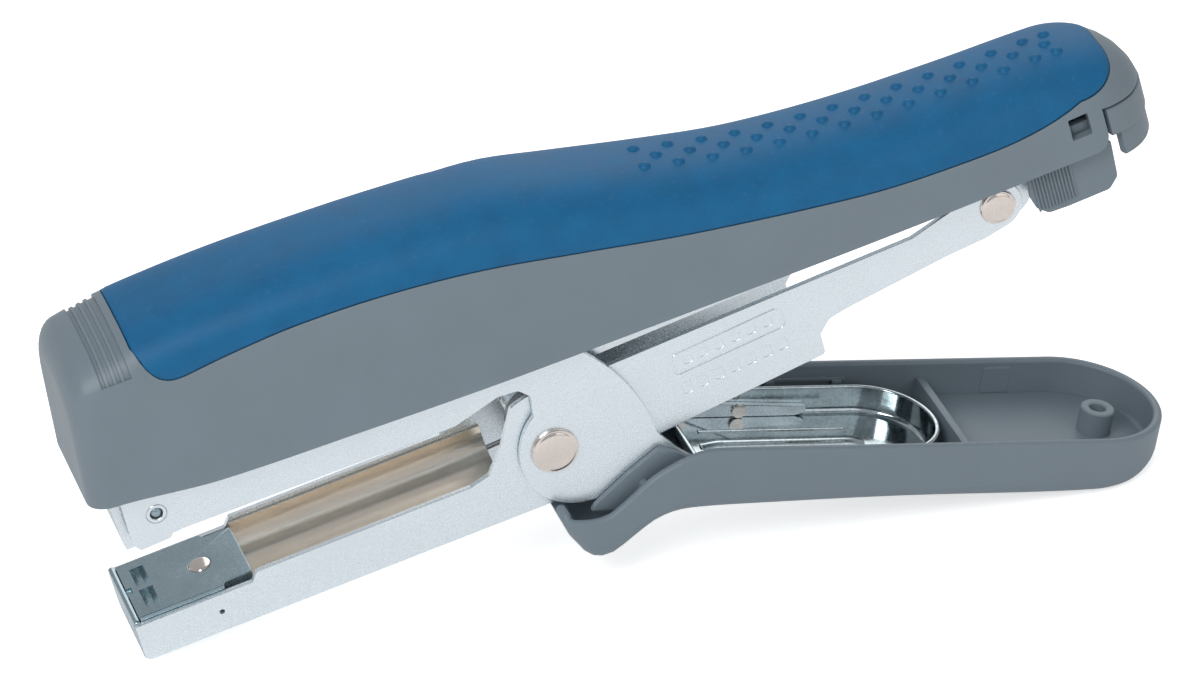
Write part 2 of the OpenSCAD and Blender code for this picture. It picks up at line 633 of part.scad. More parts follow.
// Spring that lifts the handle off the magazine after each stroke
module lift_spring() color("dimgray") top_frame() {
    wire_r = 0.3;
    from = seat_v + seat_t;
    height = 15.7 - from;
    turns = 4;
    for (i = [0:turns - 1])
        translate([spring_u, 0, from + wire_r + i * (height - 2 * wire_r) / (turns - 1)])
            rotate_extrude($fn = 24) translate([3.4, 0]) circle(r = wire_r, $fn = 8);
}

left_frame_plate();
right_frame_plate();
pivot_rivet();
pivot_spacer();
opening_spring();
nose_pins();
handle_channel();
handle_rivets();
lower_handle_shell();
anvil_arm();
anvil_plate();
anvil_rivet();
jaw_liner();
tail_rivet();
magazine_channel();
core_rail();
nose_block();
rear_bracket();
staple_strip();
spring_seat();
hinge_studs();
end_cap();
pusher_rod();
pusher_spring();
pusher();
left_release_pad();
right_release_pad();
upper_handle_shell();
grip_overmould();
hinge_bushes();
handle_spine();
driver_blade();
driver_rivets();
lift_spring();
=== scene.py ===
"""Looks of a plier stapler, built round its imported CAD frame.

Lengths in the builders are millimetres in one of four side frames. They become metres when a piece
is placed.
"""

import json
import logging
import math
from collections.abc import Callable, Iterable, Sequence
from dataclasses import dataclass, field
from enum import Enum
from typing import Any

import bmesh
import bpy
from mathutils import Matrix, Vector

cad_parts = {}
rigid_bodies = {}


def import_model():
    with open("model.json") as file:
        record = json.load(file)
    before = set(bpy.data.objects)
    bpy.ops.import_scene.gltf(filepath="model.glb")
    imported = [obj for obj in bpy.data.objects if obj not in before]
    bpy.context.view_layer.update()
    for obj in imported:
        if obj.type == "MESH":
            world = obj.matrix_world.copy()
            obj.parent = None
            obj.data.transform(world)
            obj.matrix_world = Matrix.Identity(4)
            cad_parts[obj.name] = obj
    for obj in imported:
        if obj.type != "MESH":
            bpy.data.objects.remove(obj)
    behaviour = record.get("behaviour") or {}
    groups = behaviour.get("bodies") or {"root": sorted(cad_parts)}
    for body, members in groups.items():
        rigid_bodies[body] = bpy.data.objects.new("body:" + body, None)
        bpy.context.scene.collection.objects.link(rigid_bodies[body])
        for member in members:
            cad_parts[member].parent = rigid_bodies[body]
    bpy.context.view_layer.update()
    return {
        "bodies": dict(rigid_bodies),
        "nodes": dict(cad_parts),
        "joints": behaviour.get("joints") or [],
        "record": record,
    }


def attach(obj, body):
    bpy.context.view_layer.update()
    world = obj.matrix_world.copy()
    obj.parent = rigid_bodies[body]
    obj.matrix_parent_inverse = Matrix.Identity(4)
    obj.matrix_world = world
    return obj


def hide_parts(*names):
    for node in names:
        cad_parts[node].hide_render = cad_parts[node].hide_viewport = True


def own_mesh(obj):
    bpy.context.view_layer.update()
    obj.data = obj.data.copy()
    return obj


LOG = logging.getLogger("stapler")
MM = 0.001
Point = tuple[float, float, float]
Flat = tuple[float, float]


class Body(str, Enum):
    """CAD bodies that pieces ride on."""

    FRAME = "frame"
    LEVER = "anvil_lever"
    MAGAZINE = "magazine"
    DRAWER = "drawer"
    LEFT_PAD = "left_pad"
    RIGHT_PAD = "right_pad"
    HANDLE = "top_handle"


class Axis(Enum):
    """Direction an outline is drawn out along, in a side frame."""

    U = "u"
    Y = "y"
    V = "v"


# ---- side frames ---------------------------------------------------------------------------


@dataclass(frozen=True)
class SideFrame:
    """A frame in the side view, with its origin in the row frame in mm and its tilt in degrees."""

    x: float
    z: float
    tilt: float

    def at(self, u: float, y: float, v: float) -> Vector:
        """Place of a point.

        Args:
            u: distance along the frame, in mm.
            y: distance across the stapler, in mm.
            v: distance up the frame, in mm.

        Returns:
            The point in the row frame, in metres.
        """
        a = math.radians(self.tilt)
        x = self.x + u * math.cos(a) - v * math.sin(a)
        z = self.z + u * math.sin(a) + v * math.cos(a)
        return Vector((x, y, z)) * MM

    def seen_from(self, other: "SideFrame", points: Iterable[Flat]) -> list[Flat]:
        """Points of this frame written in another frame.

        Args:
            other: the frame to write them in.
            points: [u, v] places in this frame.

        Returns:
            The same places in the other frame.
        """
        out = []
        for u, v in points:
            p = self.at(u, 0, v) / MM
            a = math.radians(-other.tilt)
            x, z = p.x - other.x, p.z - other.z
            out.append((x * math.cos(a) - z * math.sin(a), x * math.sin(a) + z * math.cos(a)))
        return out


# Origins and tilts as the CAD source works them out: the standing stapler, its magazine, jaw and tray
STAND = SideFrame(-17.0388, 30.6420, 0.9)
TOP = SideFrame(-93.8050, 32.9204, 14.4)
JAW = SideFrame(STAND.x, STAND.z, 12.7)
TRAY = SideFrame(STAND.x, STAND.z, -10.5)


def level_height(u: float, level: float) -> float:
    """Height in the magazine's frame of a plane that is level on the standing stapler.

    Args:
        u: distance along the magazine.
        level: the plane's height above the pivot rivet, in mm.

    Returns:
        The height.
    """
    (u0, v0), (u1, v1) = STAND.seen_from(TOP, [(100, level), (240, level)])
    return v0 + (v1 - v0) * (u - u0) / (u1 - u0)


# ---- sizes, as in the CAD source -----------------------------------------------------------


@dataclass(frozen=True)
class Sizes:
    """Sizes shared by several pieces, in mm."""

    arm_in: float = 9.3
    arm_half: float = 10.5
    frame_in: float = 10.8
    frame_half: float = 12.0
    cover_half: float = 15.2
    cover_wall: float = 1.8
    pad_in: float = 11.7
    pad_out: float = 13.0
    handle_half: float = 17.0
    handle_len: float = 128.5
    jaw_reach: float = 84.8
    jaw_low: float = 12.3
    staple_half: float = 6.35
    nose_u: float = -11.2
    end_u: float = 203.2
    grip_t: float = 1.0
    tail: Flat = (89.19, 32.99)


SZ = Sizes()


# ---- meshes --------------------------------------------------------------------------------


@dataclass
class Draft:
    """Points and faces of a piece in a side frame, in mm."""

    points: list[Point] = field(default_factory=list)
    faces: list[tuple[int, ...]] = field(default_factory=list)

    def add(self, *others: "Draft") -> "Draft":
        """Joins other drafts to this one.

        Args:
            others: the drafts to join.

        Returns:
            This draft.
        """
        for other in others:
            base = len(self.points)
            self.points += other.points
            self.faces += [tuple(i + base for i in f) for f in other.faces]
        return self

    def mirrored(self) -> "Draft":
        """The draft on the other side of the middle plane.

        Returns:
            A new draft.
        """
        return Draft([(u, -y, v) for u, y, v in self.points], [f[::-1] for f in self.faces])

    def both(self) -> "Draft":
        """The draft with its mirror image.

        Returns:
            A new draft.
        """
        return Draft(list(self.points), list(self.faces)).add(self.mirrored())


def smooth_line(table: Sequence[Flat], x: float) -> float:
    """Value of a smooth line through [place, value] pairs.

    Args:
        table: the pairs, in rising order of place.
        x: the place asked for.

    Returns:
        The value there.
    """
    last = len(table) - 2
    i = 0
    while i < last and x >= table[i + 1][0]:
        i += 1

    def slope(k: int) -> float:
        """Slope at pair k.

        Args:
            k: index of the pair.

        Returns:
            The slope, level at both ends.
        """
        if k <= 0 or k >= len(table) - 1:
            return 0.0
        return (table[k + 1][1] - table[k - 1][1]) / (table[k + 1][0] - table[k - 1][0])

    h = table[i + 1][0] - table[i][0]
    s = min(1.0, max(0.0, (x - table[i][0]) / h))
    a, b = table[i][1], table[i + 1][1]
    return ((2 * s**3 - 3 * s**2 + 1) * a + (s**3 - 2 * s**2 + s) * h * slope(i)
            + (3 * s**2 - 2 * s**3) * b + (s**3 - s**2) * h * slope(i + 1))


def straight_line(table: Sequence[Flat], x: float) -> float:
    """Value of a straight-sided line through [place, value] pairs.

    Args:
        table: the pairs, in rising order of place.
        x: the place asked for.

    Returns:
        The value there.
    """
    for (x0, a), (x1, b) in zip(table, table[1:]):
        if x <= x1:
            return a + (b - a) * max(0.0, (x - x0)) / (x1 - x0)
    return table[-1][1]


def arc(centre: Flat, r: float, a0: float, a1: float, n: int = 16) -> list[Flat]:
    """Points on an arc.

    Args:
        centre: the arc's centre.
        r: its radius.
        a0: first angle, in degrees.
        a1: last angle, in degrees.
        n: number of steps.

    Returns:
        n + 1 points.
    """
    steps = [math.radians(a0 + (a1 - a0) * i / n) for i in range(n + 1)]
    return [(centre[0] + r * math.cos(a), centre[1] + r * math.sin(a)) for a in steps]


def rounded(corners: Sequence[Point], steps: int = 5) -> list[Flat]:
    """An outline with its corners rounded.

    Args:
        corners: [a, b, radius] for each corner.
        steps: steps in each rounding.

    Returns:
        The outline's points.
    """
    out: list[Flat] = []
    n = len(corners)
    for i, (a, b, r) in enumerate(corners):
        here = Vector((a, b))
        before = Vector(corners[i - 1][:2]) - here
        after = Vector(corners[(i + 1) % n][:2]) - here
        if r <= 0 or before.length < 1e-6 or after.length < 1e-6:
            out.append((a, b))
            continue
        half = before.angle(after) / 2
        if half > math.radians(88):
            out.append((a, b))
            continue
        reach = min(r / math.tan(half), 0.48 * before.length, 0.48 * after.length)
        start = here + before.normalized() * reach
        end = here + after.normalized() * reach
        for k in range(steps + 1):
            t = k / steps
            p = start * (1 - t) ** 2 + here * 2 * t * (1 - t) + end * t**2
            out.append((p.x, p.y))
    return out


def rectangle(a0: float, a1: float, b0: float, b1: float, r: float = 0.0) -> list[Flat]:
    """A rectangle with rounded corners.

    Args:
        a0: lowest first coordinate.
        a1: highest first coordinate.
        b0: lowest second coordinate.
        b1: highest second coordinate.
        r: radius of the corners.

    Returns:
        The outline's points.
    """
    return rounded([(a0, b0, r), (a1, b0, r), (a1, b1, r), (a0, b1, r)])


def prism(outline: Sequence[Flat], low: float, high: float, bevel: float = 0.12,
          axis: Axis = Axis.Y,
          holes: Sequence[Sequence[Flat]] = ()) -> Draft:
    """A plate with rounded-over edges, drawn out from an outline.

    Args:
        outline: the outer loop.
        low: start along the axis.
        high: end along the axis.
        bevel: size of the rounded edge.
        axis: the direction it is drawn out along.
        holes: loops cut through it.

    Returns:
        The plate.
    """
    curve = bpy.data.curves.new("outline", "CURVE")
    curve.dimensions = "2D"
    curve.fill_mode = "BOTH"
    for loop in (outline, *holes):
        spline = curve.splines.new("POLY")
        spline.points.add(len(loop) - 1)
        for p, (a, b) in zip(spline.points, loop):
            p.co = (a, b, 0, 1)
        spline.use_cyclic_u = True
    curve.extrude = (high - low) / 2 - bevel
    curve.bevel_depth = bevel
    curve.bevel_resolution = 1
    curve.offset = -bevel
    holder = bpy.data.objects.new("outline", curve)
    mesh = holder.to_mesh()
    mid = (low + high) / 2
    turned = {
        Axis.Y: lambda x, y, z: (x, mid - z, y),
        Axis.V: lambda x, y, z: (x, y, mid + z),
        Axis.U: lambda x, y, z: (mid + z, x, y),
    }[axis]
    draft = Draft([turned(*v.co) for v in mesh.vertices],
                  [tuple(p.vertices) for p in mesh.polygons])
    holder.to_mesh_clear()
    bpy.data.objects.remove(holder)
    bpy.data.curves.remove(curve)
    return draft


def block(u: Flat, y: Flat, v: Flat, bevel: float = 0.2, corner: float = 0.0) -> Draft:
    """A block with rounded-over edges.

    Args:
        u: its span along the frame.
        y: its span across.
        v: its span up.
        bevel: size of the rounded edge.
        corner: radius of its corners in the side view.

    Returns:
        The block.
    """
    return prism(rectangle(u[0], u[1], v[0], v[1], corner), y[0], y[1], bevel)


def grid(rows: Sequence[Sequence[Point]], wrap: bool = False, ends: bool = False) -> Draft:
    """Faces between rows of points.

    Args:
        rows: rows with the same number of points.
        wrap: whether each row closes on itself.
        ends: whether the first and last rows are closed with a face.

    Returns:
        The surface.
    """
    n = len(rows[0])
    points = [p for row in rows for p in row]
    faces: list[tuple[int, ...]] = []
    for k in range(len(rows) - 1):
        for j in range(n if wrap else n - 1):
            a, b = k * n + j, k * n + (j + 1) % n
            faces.append((a, b, b + n, a + n))
    if ends:
        faces.append(tuple(range(n))[::-1])
        faces.append(tuple(range((len(rows) - 1) * n, len(rows) * n)))
    return Draft(points, faces)


def whole_ring(half: list[Point]) -> list[Point]:
    """A half ring with its mirror image.

    Args:
        half: points from one side up to the middle plane.

    Returns:
        The whole ring, with the middle point once.
    """
    return half + [(u, -y, v) for u, y, v in half[-2::-1]]


def joined_sides(outer: Draft, inner: Draft, n: int) -> Draft:
    """Joins an outer and an inner surface along both sides.

    Args:
        outer: the outer surface, in rows of n points.
        inner: the inner surface, with the same rows.
        n: points in a row.

    Returns:
        Both surfaces and the strips between their sides.
    """
    base = len(outer.points)
    outer.add(inner)
    for k in range(base // n - 1):
        for j in (0, n - 1):
            a, b = k * n + j, (k + 1) * n + j
            outer.faces.append((a, b, base + b, base + a))
    return outer


def turned(profile: Sequence[Flat], centre: Point, axis: Axis = Axis.Y, sides: int = 48) -> Draft:
    """A turned piece.

    Args:
        profile: [radius, distance along the axis] pairs, closed at both ends or back on themselves.
        centre: a point on the axis.
        axis: the axis's direction.
        sides: steps round the axis.

    Returns:
        The turned surface.
    """
    rows = []
    for r, h in profile:
        row = []
        for k in range(sides):
            a = 2 * math.pi * k / sides
            c, s = r * math.cos(a), r * math.sin(a)
            offset = {Axis.Y: (c, h, s), Axis.V: (c, s, h), Axis.U: (h, c, s)}[axis]
            row.append(tuple(m + o for m, o in zip(centre, offset)))
        rows.append(row)
    return grid(rows, wrap=True)


def tube(path: Sequence[Point], r: float, sides: int = 12) -> Draft:
    """A round wire along a path.

    Args:
        path: points on its centreline.
        r: its radius.
        sides: steps round it.

    Returns:
        The wire, closed at both ends.
    """
    centres = [Vector(p) for p in path]
    rows = []
    side = (centres[1] - centres[0]).orthogonal().normalized()
    for i, c in enumerate(centres):
        along = (centres[min(i + 1, len(centres) - 1)] - centres[max(i - 1, 0)]).normalized()
        side = (side - along * side.dot(along)).normalized()
        up = along.cross(side)
        turns = (2 * math.pi * k / sides for k in range(sides))
        rows.append([tuple(c + side * r * math.cos(a) + up * r * math.sin(a)) for a in turns])
    return grid(rows, wrap=True, ends=True)


def dome_head(r: float, height: float, edge: float) -> list[Flat]:
    """Profile of a low domed rivet head.

    Args:
        r: its radius.
        height: height at the middle.
        edge: height of its straight edge.

    Returns:
        [radius, height] pairs from the seat to the middle.
    """
    crown = height - edge
    out = [(0.0, 0.0), (r - 0.15, 0.0), (r, 0.15), (r, edge * 0.7), (r - 0.12, edge)]
    out += [((r - 0.45) * math.cos(math.radians(a)), edge + crown * math.sin(math.radians(a)))
            for a in range(6, 91, 12)]
    out[-1] = (0.0, height)
    return out


# ---- finishes ------------------------------------------------------------------------------


@dataclass(frozen=True)
class Finish:
    """A surface finish. Colours are linear, lengths in metres."""

    slot: str
    colour: Point
    metallic: float
    roughness: float
    grain_scale: float
    grain_depth: float
    colour_change: float
    cloud_scale: float = 120.0
    wear: float = 0.0
    dust: float = 0.0
    coat: float = 0.0
    brushed: Point = (1.0, 1.0, 1.0)
    shine: float = 0.5


class Look(Enum):
    """Finish of each material slot."""

    SHELL = Finish("shell_plastic", (0.165, 0.208, 0.240), 0.0, 0.46, 5200.0, 1.6e-5, 0.05, 90.0,
                   0.10, 0.05)
    GRIP = Finish("blue_grip", (0.0025, 0.112, 0.262), 0.0, 0.52, 4200.0, 3.2e-5, 0.14, 160.0, 0.0,
                  0.03, shine=0.3)
    PLATED = Finish("plated_steel", (0.76, 0.82, 0.86), 0.82, 0.27, 2600.0, 1.0e-6, 0.025, 70.0,
                    0.12)
    RIVET = Finish("rivet_steel", (0.74, 0.67, 0.62), 1.0, 0.13, 2500.0, 1.5e-6, 0.08, 200.0, 0.1)
    ANVIL = Finish("anvil_steel", (0.33, 0.42, 0.46), 0.9, 0.26, 1800.0, 3.0e-6, 0.07, 140.0, 0.2)
    LINER = Finish("bright_liner", (0.84, 0.76, 0.66), 1.0, 0.24, 900.0, 3.0e-6, 0.05, 60.0, 0.0,
                   0.0, 0.0, (0.12, 1.0, 1.0))
    SPRING = Finish("spring_steel", (0.30, 0.31, 0.33), 1.0, 0.3, 2500.0, 2.0e-6, 0.1)
    ROD = Finish("rod_steel", (0.5, 0.52, 0.54), 1.0, 0.2, 2500.0, 1.0e-6, 0.05)
    STAPLE = Finish("staple_wire", (0.6, 0.61, 0.62), 1.0, 0.25, 2500.0, 1.0e-6, 0.05)
    NYLON = Finish("black_nylon", (0.012, 0.012, 0.014), 0.0, 0.4, 3000.0, 1.0e-5, 0.1)
    # Plated steel of the channel with its colour darkened: painted shade standing in for the dark
    # reflections inside the tray.
    MIRROR = Finish("plated_steel", (0.42, 0.48, 0.50), 1.0, 0.10, 1500.0, 3.0e-6, 0.25, 200.0, 0.1)


class Effects:
    """Node groups shared by the materials. They give colours, masks, values and normals only."""

    def __init__(self) -> None:
        """Builds the groups."""
        self.grain = self._grain()
        self.wear = self._wear()
        self.dust = self._dust()

    @staticmethod
    def _group(name: str, inputs: Sequence[tuple[str, str, Any]],
               outputs: Sequence[tuple[str, str]]) -> tuple[Any, Any, Any]:
        """A new group with its sockets.

        Args:
            name: the group's name.
            inputs: name, socket type and default of each input.
            outputs: name and socket type of each output.

        Returns:
            The group, its input node and its output node.
        """
        tree = bpy.data.node_groups.new(name, "ShaderNodeTree")
        for label, kind, value in inputs:
            socket = tree.interface.new_socket(label, in_out="INPUT", socket_type=kind)
            if value is not None:
                socket.default_value = value
        for label, kind in outputs:
            tree.interface.new_socket(label, in_out="OUTPUT", socket_type=kind)
        return tree, tree.nodes.new("NodeGroupInput"), tree.nodes.new("NodeGroupOutput")

    @staticmethod
    def _node(tree: Any, kind: str, inputs: dict[Any, Any], **settings: Any) -> Any:
        """A new node with its inputs linked or set.

        Args:
            tree: the node group that it goes in.
            kind: the node's type, without the words that all types begin with.
            inputs: a socket to link or a value to set, by the input's name or number.
            settings: settings of the node itself, such as its operation.

        Returns:
            The node.
        """
        node = tree.nodes.new("ShaderNode" + kind)
        for setting, value in settings.items():
            setattr(node, setting, value)
        for key, value in inputs.items():
            if isinstance(value, bpy.types.NodeSocket):
                tree.links.new(value, node.inputs[key])
            else:
                node.inputs[key].default_value = value
        return node

    def _scaled(self, tree: Any, source: Any, sink: Any, mask: Any) -> None:
        """Ends a mask group with its amount.

        Args:
            tree: the node group.
            source: its input node.
            sink: its output node.
            mask: the socket of the full mask.
        """
        scaled = self._node(tree, "Math", {0: mask, 1: source.outputs["Amount"]},
                            operation="MULTIPLY")
        tree.links.new(scaled.outputs[0], sink.inputs["Mask"])

    def _grain(self) -> Any:
        """Fine grain and slow clouding of a surface.

        Returns:
            The node group.
        """
        tree, source, sink = self._group(
            "surface_grain",
            [("Colour", "NodeSocketColor", (0.5, 0.5, 0.5, 1)),
             ("Scale", "NodeSocketFloat", 3000.0),
             ("Depth", "NodeSocketFloat", 1e-5), ("Change", "NodeSocketFloat", 0.1),
             ("Clouds", "NodeSocketFloat", 100.0), ("Stretch", "NodeSocketVector", (1, 1, 1)),
             ("Roughness", "NodeSocketFloat", 0.5)],
            [("Colour", "NodeSocketColor"), ("Roughness", "NodeSocketFloat"),
             ("Normal", "NodeSocketVector")])
        node, values = self._node, source.outputs
        place = node(tree, "TexCoord", {})
        stretch = node(tree, "VectorMath", {0: place.outputs["Object"], 1: values["Stretch"]},
                       operation="MULTIPLY")
        fine, clouds = (
            node(tree, "TexNoise", {"Vector": stretch.outputs[0], "Scale": values[scale],
                                    "Detail": detail})
            for scale, detail in (("Scale", 3), ("Clouds", 5)))
        total = node(tree, "Math", {0: fine.outputs["Fac"], 1: clouds.outputs["Fac"]},
                     operation="ADD")
        centred = node(tree, "Math", {0: total.outputs[0], 1: 1.0}, operation="SUBTRACT")
        amount = node(tree, "Math", {0: values["Change"], 1: 3.0}, operation="MULTIPLY")
        share = node(tree, "Math", {0: centred.outputs[0], 1: amount.outputs[0], 2: 1.0},
                     operation="MULTIPLY_ADD")
        tint = node(tree, "VectorMath", {0: values["Colour"], "Scale": share.outputs[0]},
                    operation="SCALE")
        rough = node(tree, "Math", {0: centred.outputs[0], 1: 0.12, 2: values["Roughness"]},
                     operation="MULTIPLY_ADD")
        bump = node(tree, "Bump", {"Height": fine.outputs["Fac"], "Distance": values["Depth"]})
        for name, socket in (("Colour", tint.outputs[0]), ("Roughness", rough.outputs[0]),
                             ("Normal", bump.outputs["Normal"])):
            tree.links.new(socket, sink.inputs[name])
        return tree

    def _wear(self) -> Any:
        """Mask of handled edges.

        Returns:
            The node group.
        """
        tree, source, sink = self._group(
            "edge_wear", [("Amount", "NodeSocketFloat", 0.1)], [("Mask", "NodeSocketFloat")])
        shape = self._node(tree, "NewGeometry", {})
        ramp = self._node(tree, "MapRange", {"Value": shape.outputs["Pointiness"], "From Min": 0.52,
                                             "From Max": 0.64})
        place = self._node(tree, "TexCoord", {})
        noise = self._node(tree, "TexNoise", {"Vector": place.outputs["Object"], "Scale": 700})
        mask = self._node(tree, "Math", {0: ramp.outputs[0], 1: noise.outputs["Fac"]},
                          operation="MULTIPLY")
        self._scaled(tree, source, sink, mask.outputs[0])
        return tree

    def _dust(self) -> Any:
        """Mask of dust on faces that look up.

        Returns:
            The node group.
        """
        tree, source, sink = self._group(
            "settled_dust", [("Amount", "NodeSocketFloat", 0.05)], [("Mask", "NodeSocketFloat")])
        shape = self._node(tree, "NewGeometry", {})
        parts = self._node(tree, "SeparateXYZ", {0: shape.outputs["Normal"]})
        place = self._node(tree, "TexCoord", {})
        noise = self._node(tree, "TexNoise", {"Vector": place.outputs["Object"], "Scale": 900,
                                              "Detail": 6})
        specks = self._node(tree, "MapRange", {"Value": noise.outputs["Fac"], "From Min": 0.58,
                                               "From Max": 0.8})
        up = self._node(tree, "Math", {0: parts.outputs["Z"], 1: specks.outputs[0]},
                        operation="MULTIPLY", use_clamp=True)
        self._scaled(tree, source, sink, up.outputs[0])
        return tree


class Finisher:
    """Makes and keeps one material for each look."""

    def __init__(self) -> None:
        """Builds the shared effects."""
        self.effects = Effects()
        self.made: dict[Look, bpy.types.Material] = {}

    def material(self, look: Look) -> bpy.types.Material:
        """The material of a look.

        Args:
            look: which finish.

        Returns:
            Its material.
        """
        if look not in self.made:
            self.made[look] = self._make(look)
        return self.made[look]

    def _make(self, look: Look) -> bpy.types.Material:
        """Builds a look's material.

        Args:
            look: which finish.

        Returns:
            The new material.
        """
        finish: Finish = look.value
        material = bpy.data.materials.new(look.name.lower())
        material.use_nodes = True
        n, link = material.node_tree.nodes, material.node_tree.links
        shader = n["Principled BSDF"]
        shader.inputs["Metallic"].default_value = finish.metallic
        shader.inputs["Coat Weight"].default_value = finish.coat
        shader.inputs["Specular IOR Level"].default_value = finish.shine
        grain = n.new("ShaderNodeGroup")
        grain.node_tree = self.effects.grain
        for name, value in (("Colour", (*finish.colour, 1)), ("Scale", finish.grain_scale),
                            ("Depth", finish.grain_depth),
                            ("Change", finish.colour_change), ("Clouds", finish.cloud_scale),
                            ("Stretch", finish.brushed), ("Roughness", finish.roughness)):
            grain.inputs[name].default_value = value
        colour = grain.outputs["Colour"]
        lighter = tuple(min(1.0, c * 1.35 + 0.05) for c in finish.colour)
        for tree, amount, tint in ((self.effects.wear, finish.wear, lighter),
                                   (self.effects.dust, finish.dust, (0.6, 0.6, 0.6))):
            if amount <= 0:
                continue
            mask = n.new("ShaderNodeGroup")
            mask.node_tree = tree
            mask.inputs["Amount"].default_value = amount
            mix = n.new("ShaderNodeMix")
            mix.data_type = "RGBA"
            for socket in mix.inputs:
                if socket.type == "RGBA" and socket.name == "B":
                    socket.default_value = (*tint, 1)
            factor = next(s for s in mix.inputs if s.name == "Factor" and s.type == "VALUE")
            first = next(s for s in mix.inputs if s.name == "A" and s.type == "RGBA")
            result = next(s for s in mix.outputs if s.type == "RGBA")
            link.new(mask.outputs["Mask"], factor)
            link.new(colour, first)
            colour = result
        link.new(colour, shader.inputs["Base Color"])
        link.new(grain.outputs["Roughness"], shader.inputs["Roughness"])
        link.new(grain.outputs["Normal"], shader.inputs["Normal"])
        return material


# ---- placing pieces ------------------------------------------------------------------------


class Bench:
    """Turns drafts into pieces that ride on the CAD bodies."""

    def __init__(self, nodes: dict[str, bpy.types.Object]) -> None:
        """Keeps the CAD nodes.

        Args:
            nodes: the frame's CAD nodes by name.
        """
        self.nodes = nodes
        self.finisher = Finisher()

    def solid(self, name: str, draft: Draft, frame: SideFrame,
              sharp: float = 32.0) -> bpy.types.Object:
        """A closed mesh object from a draft.

        Args:
            name: the object's name.
            draft: its points and faces.
            frame: the side frame that the draft is in.
            sharp: angle above which an edge stays sharp, in degrees.

        Returns:
            The object, linked to the scene.
        """
        mesh = bpy.data.meshes.new(name)
        mesh.from_pydata([frame.at(*p) for p in draft.points], [], draft.faces)
        work = bmesh.new()
        work.from_mesh(mesh)
        bmesh.ops.remove_doubles(work, verts=work.verts, dist=2e-6)
        bmesh.ops.dissolve_degenerate(work, edges=work.edges, dist=1e-7)
        bmesh.ops.recalc_face_normals(work, faces=work.faces)
        open_edges = sum(1 for e in work.edges if len(e.link_faces) != 2)
        if open_edges:
            LOG.warning("%s has %d open edges", name, open_edges)
        work.to_mesh(mesh)
        work.free()
        self._shade(mesh, sharp)
        obj = bpy.data.objects.new(name, mesh)
        bpy.context.scene.collection.objects.link(obj)
        return obj

    @staticmethod
    def _shade(mesh: bpy.types.Mesh, sharp: float) -> None:
        """Smooth shading with sharp edges above an angle.

        Args:
            mesh: the mesh to shade.
            sharp: the angle, in degrees.
        """
        mesh.polygons.foreach_set("use_smooth", [True] * len(mesh.polygons))
        mesh.set_sharp_from_angle(angle=math.radians(sharp))

    def cut(self, obj: bpy.types.Object, cutters: Sequence[tuple[Draft, SideFrame]],
            sharp: float = 32.0) -> None:
        """Cuts shapes out of a piece.

        Args:
            obj: the piece.
            cutters: each cutting shape and its side frame.
            sharp: angle above which an edge stays sharp, in degrees.
        """
        for draft, frame in cutters:
            tool = self.solid("cutter", draft, frame)
            modifier = obj.modifiers.new("cut", "BOOLEAN")
            modifier.operation = "DIFFERENCE"
            modifier.solver = "EXACT"
            modifier.object = tool
            bpy.context.view_layer.update()
            graph = bpy.context.evaluated_depsgraph_get()
            shaped = bpy.data.meshes.new_from_object(obj.evaluated_get(graph))
            obj.modifiers.clear()
            shaped.name = obj.data.name
            obj.data = shaped
            bpy.data.objects.remove(tool)
        self._shade(obj.data, sharp)

    def place(self, name: str, draft: Draft, frame: SideFrame, look: Look, body: Body,
              stands_for: Sequence[str] = (),
              cutters: Sequence[tuple[Draft, SideFrame]] = (),
              sharp: float = 32.0) -> bpy.types.Object:
        """Builds a piece and puts it on its body.

        Args:
            name: the piece's name.
            draft: its points and faces.
            frame: the side frame that the draft is in.
            look: its finish.
            body: the CAD body it rides on.
            stands_for: CAD nodes that it replaces.
            cutters: shapes cut out of it.
            sharp: angle above which an edge stays sharp, in degrees.

        Returns:
            The piece.
        """
        obj = self.solid(name, draft, frame, sharp)
        self.cut(obj, cutters, sharp)
        obj.data.materials.clear()
        obj.data.materials.append(self.finisher.material(look))
        weighted = obj.modifiers.new("weighted normals", "WEIGHTED_NORMAL")
        weighted.keep_sharp = True
        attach(obj, body.value)
        if stands_for:
            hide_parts(*stands_for)
        LOG.info("placed %s: %d faces", name, len(obj.data.polygons))
        return obj

    def keep(self, node: str, look: Look, edge: float = 0.0) -> None:
        """Keeps a CAD node with a finish of its own.

        Args:
            node: the CAD node's name.
            look: its finish.
            edge: size of its rounded edges, in mm.
        """
        obj = self.nodes[node]
        material = self.finisher.material(look)
        if not obj.material_slots:
            obj.data.materials.append(material)
        for held in obj.material_slots:
            held.link = "OBJECT"
            held.material = material
        if edge:
            bevel = obj.modifiers.new("rounded edges", "BEVEL")
            bevel.width = edge * MM
            bevel.segments = 2
            bevel.limit_method = "ANGLE"
            bevel.angle_limit = math.radians(40)
            bevel.harden_normals = True
        LOG.info("kept %s", node)


# ---- upper handle --------------------------------------------------------------------------

# Heights along the upper handle: its crown, its skirt's edge and the line between shell and grip
TOP_LINE: list[Flat] = [(-11.2, 35), (4, 36.6), (25, 37), (50, 35.8), (70, 34), (80.5, 32.5),
                        (92, 29), (110, 23.4),
                        (126, 19), (146, 15.8), (168, 13.9), (186, 12.9), (195, 11.9), (200, 10.6),
                        (204, 9.2)]
SKIRT_LINE: list[Flat] = [(-11.2, 7.4), (13, 3.7), (40, 1.5), (68, -0.4), (100, -1.8), (144, -3.5),
                          (190, -4.4), (204, -4.6)]
GRIP_LINE: list[Flat] = [(5.4, 35.2), (6.6, 32.6), (7.6, 30.9), (9.1, 29.2), (10.8, 28.2),
                         (13.2, 27.9), (17.3, 28.2),
                         (24.4, 28.6), (36, 28.7), (53, 27.3), (71, 24.3), (90, 19.4), (112, 13.6),
                         (143, 7.2),
                         (160, 5.4), (177, 5.2), (191.4, 8.3), (196, 12.4)]


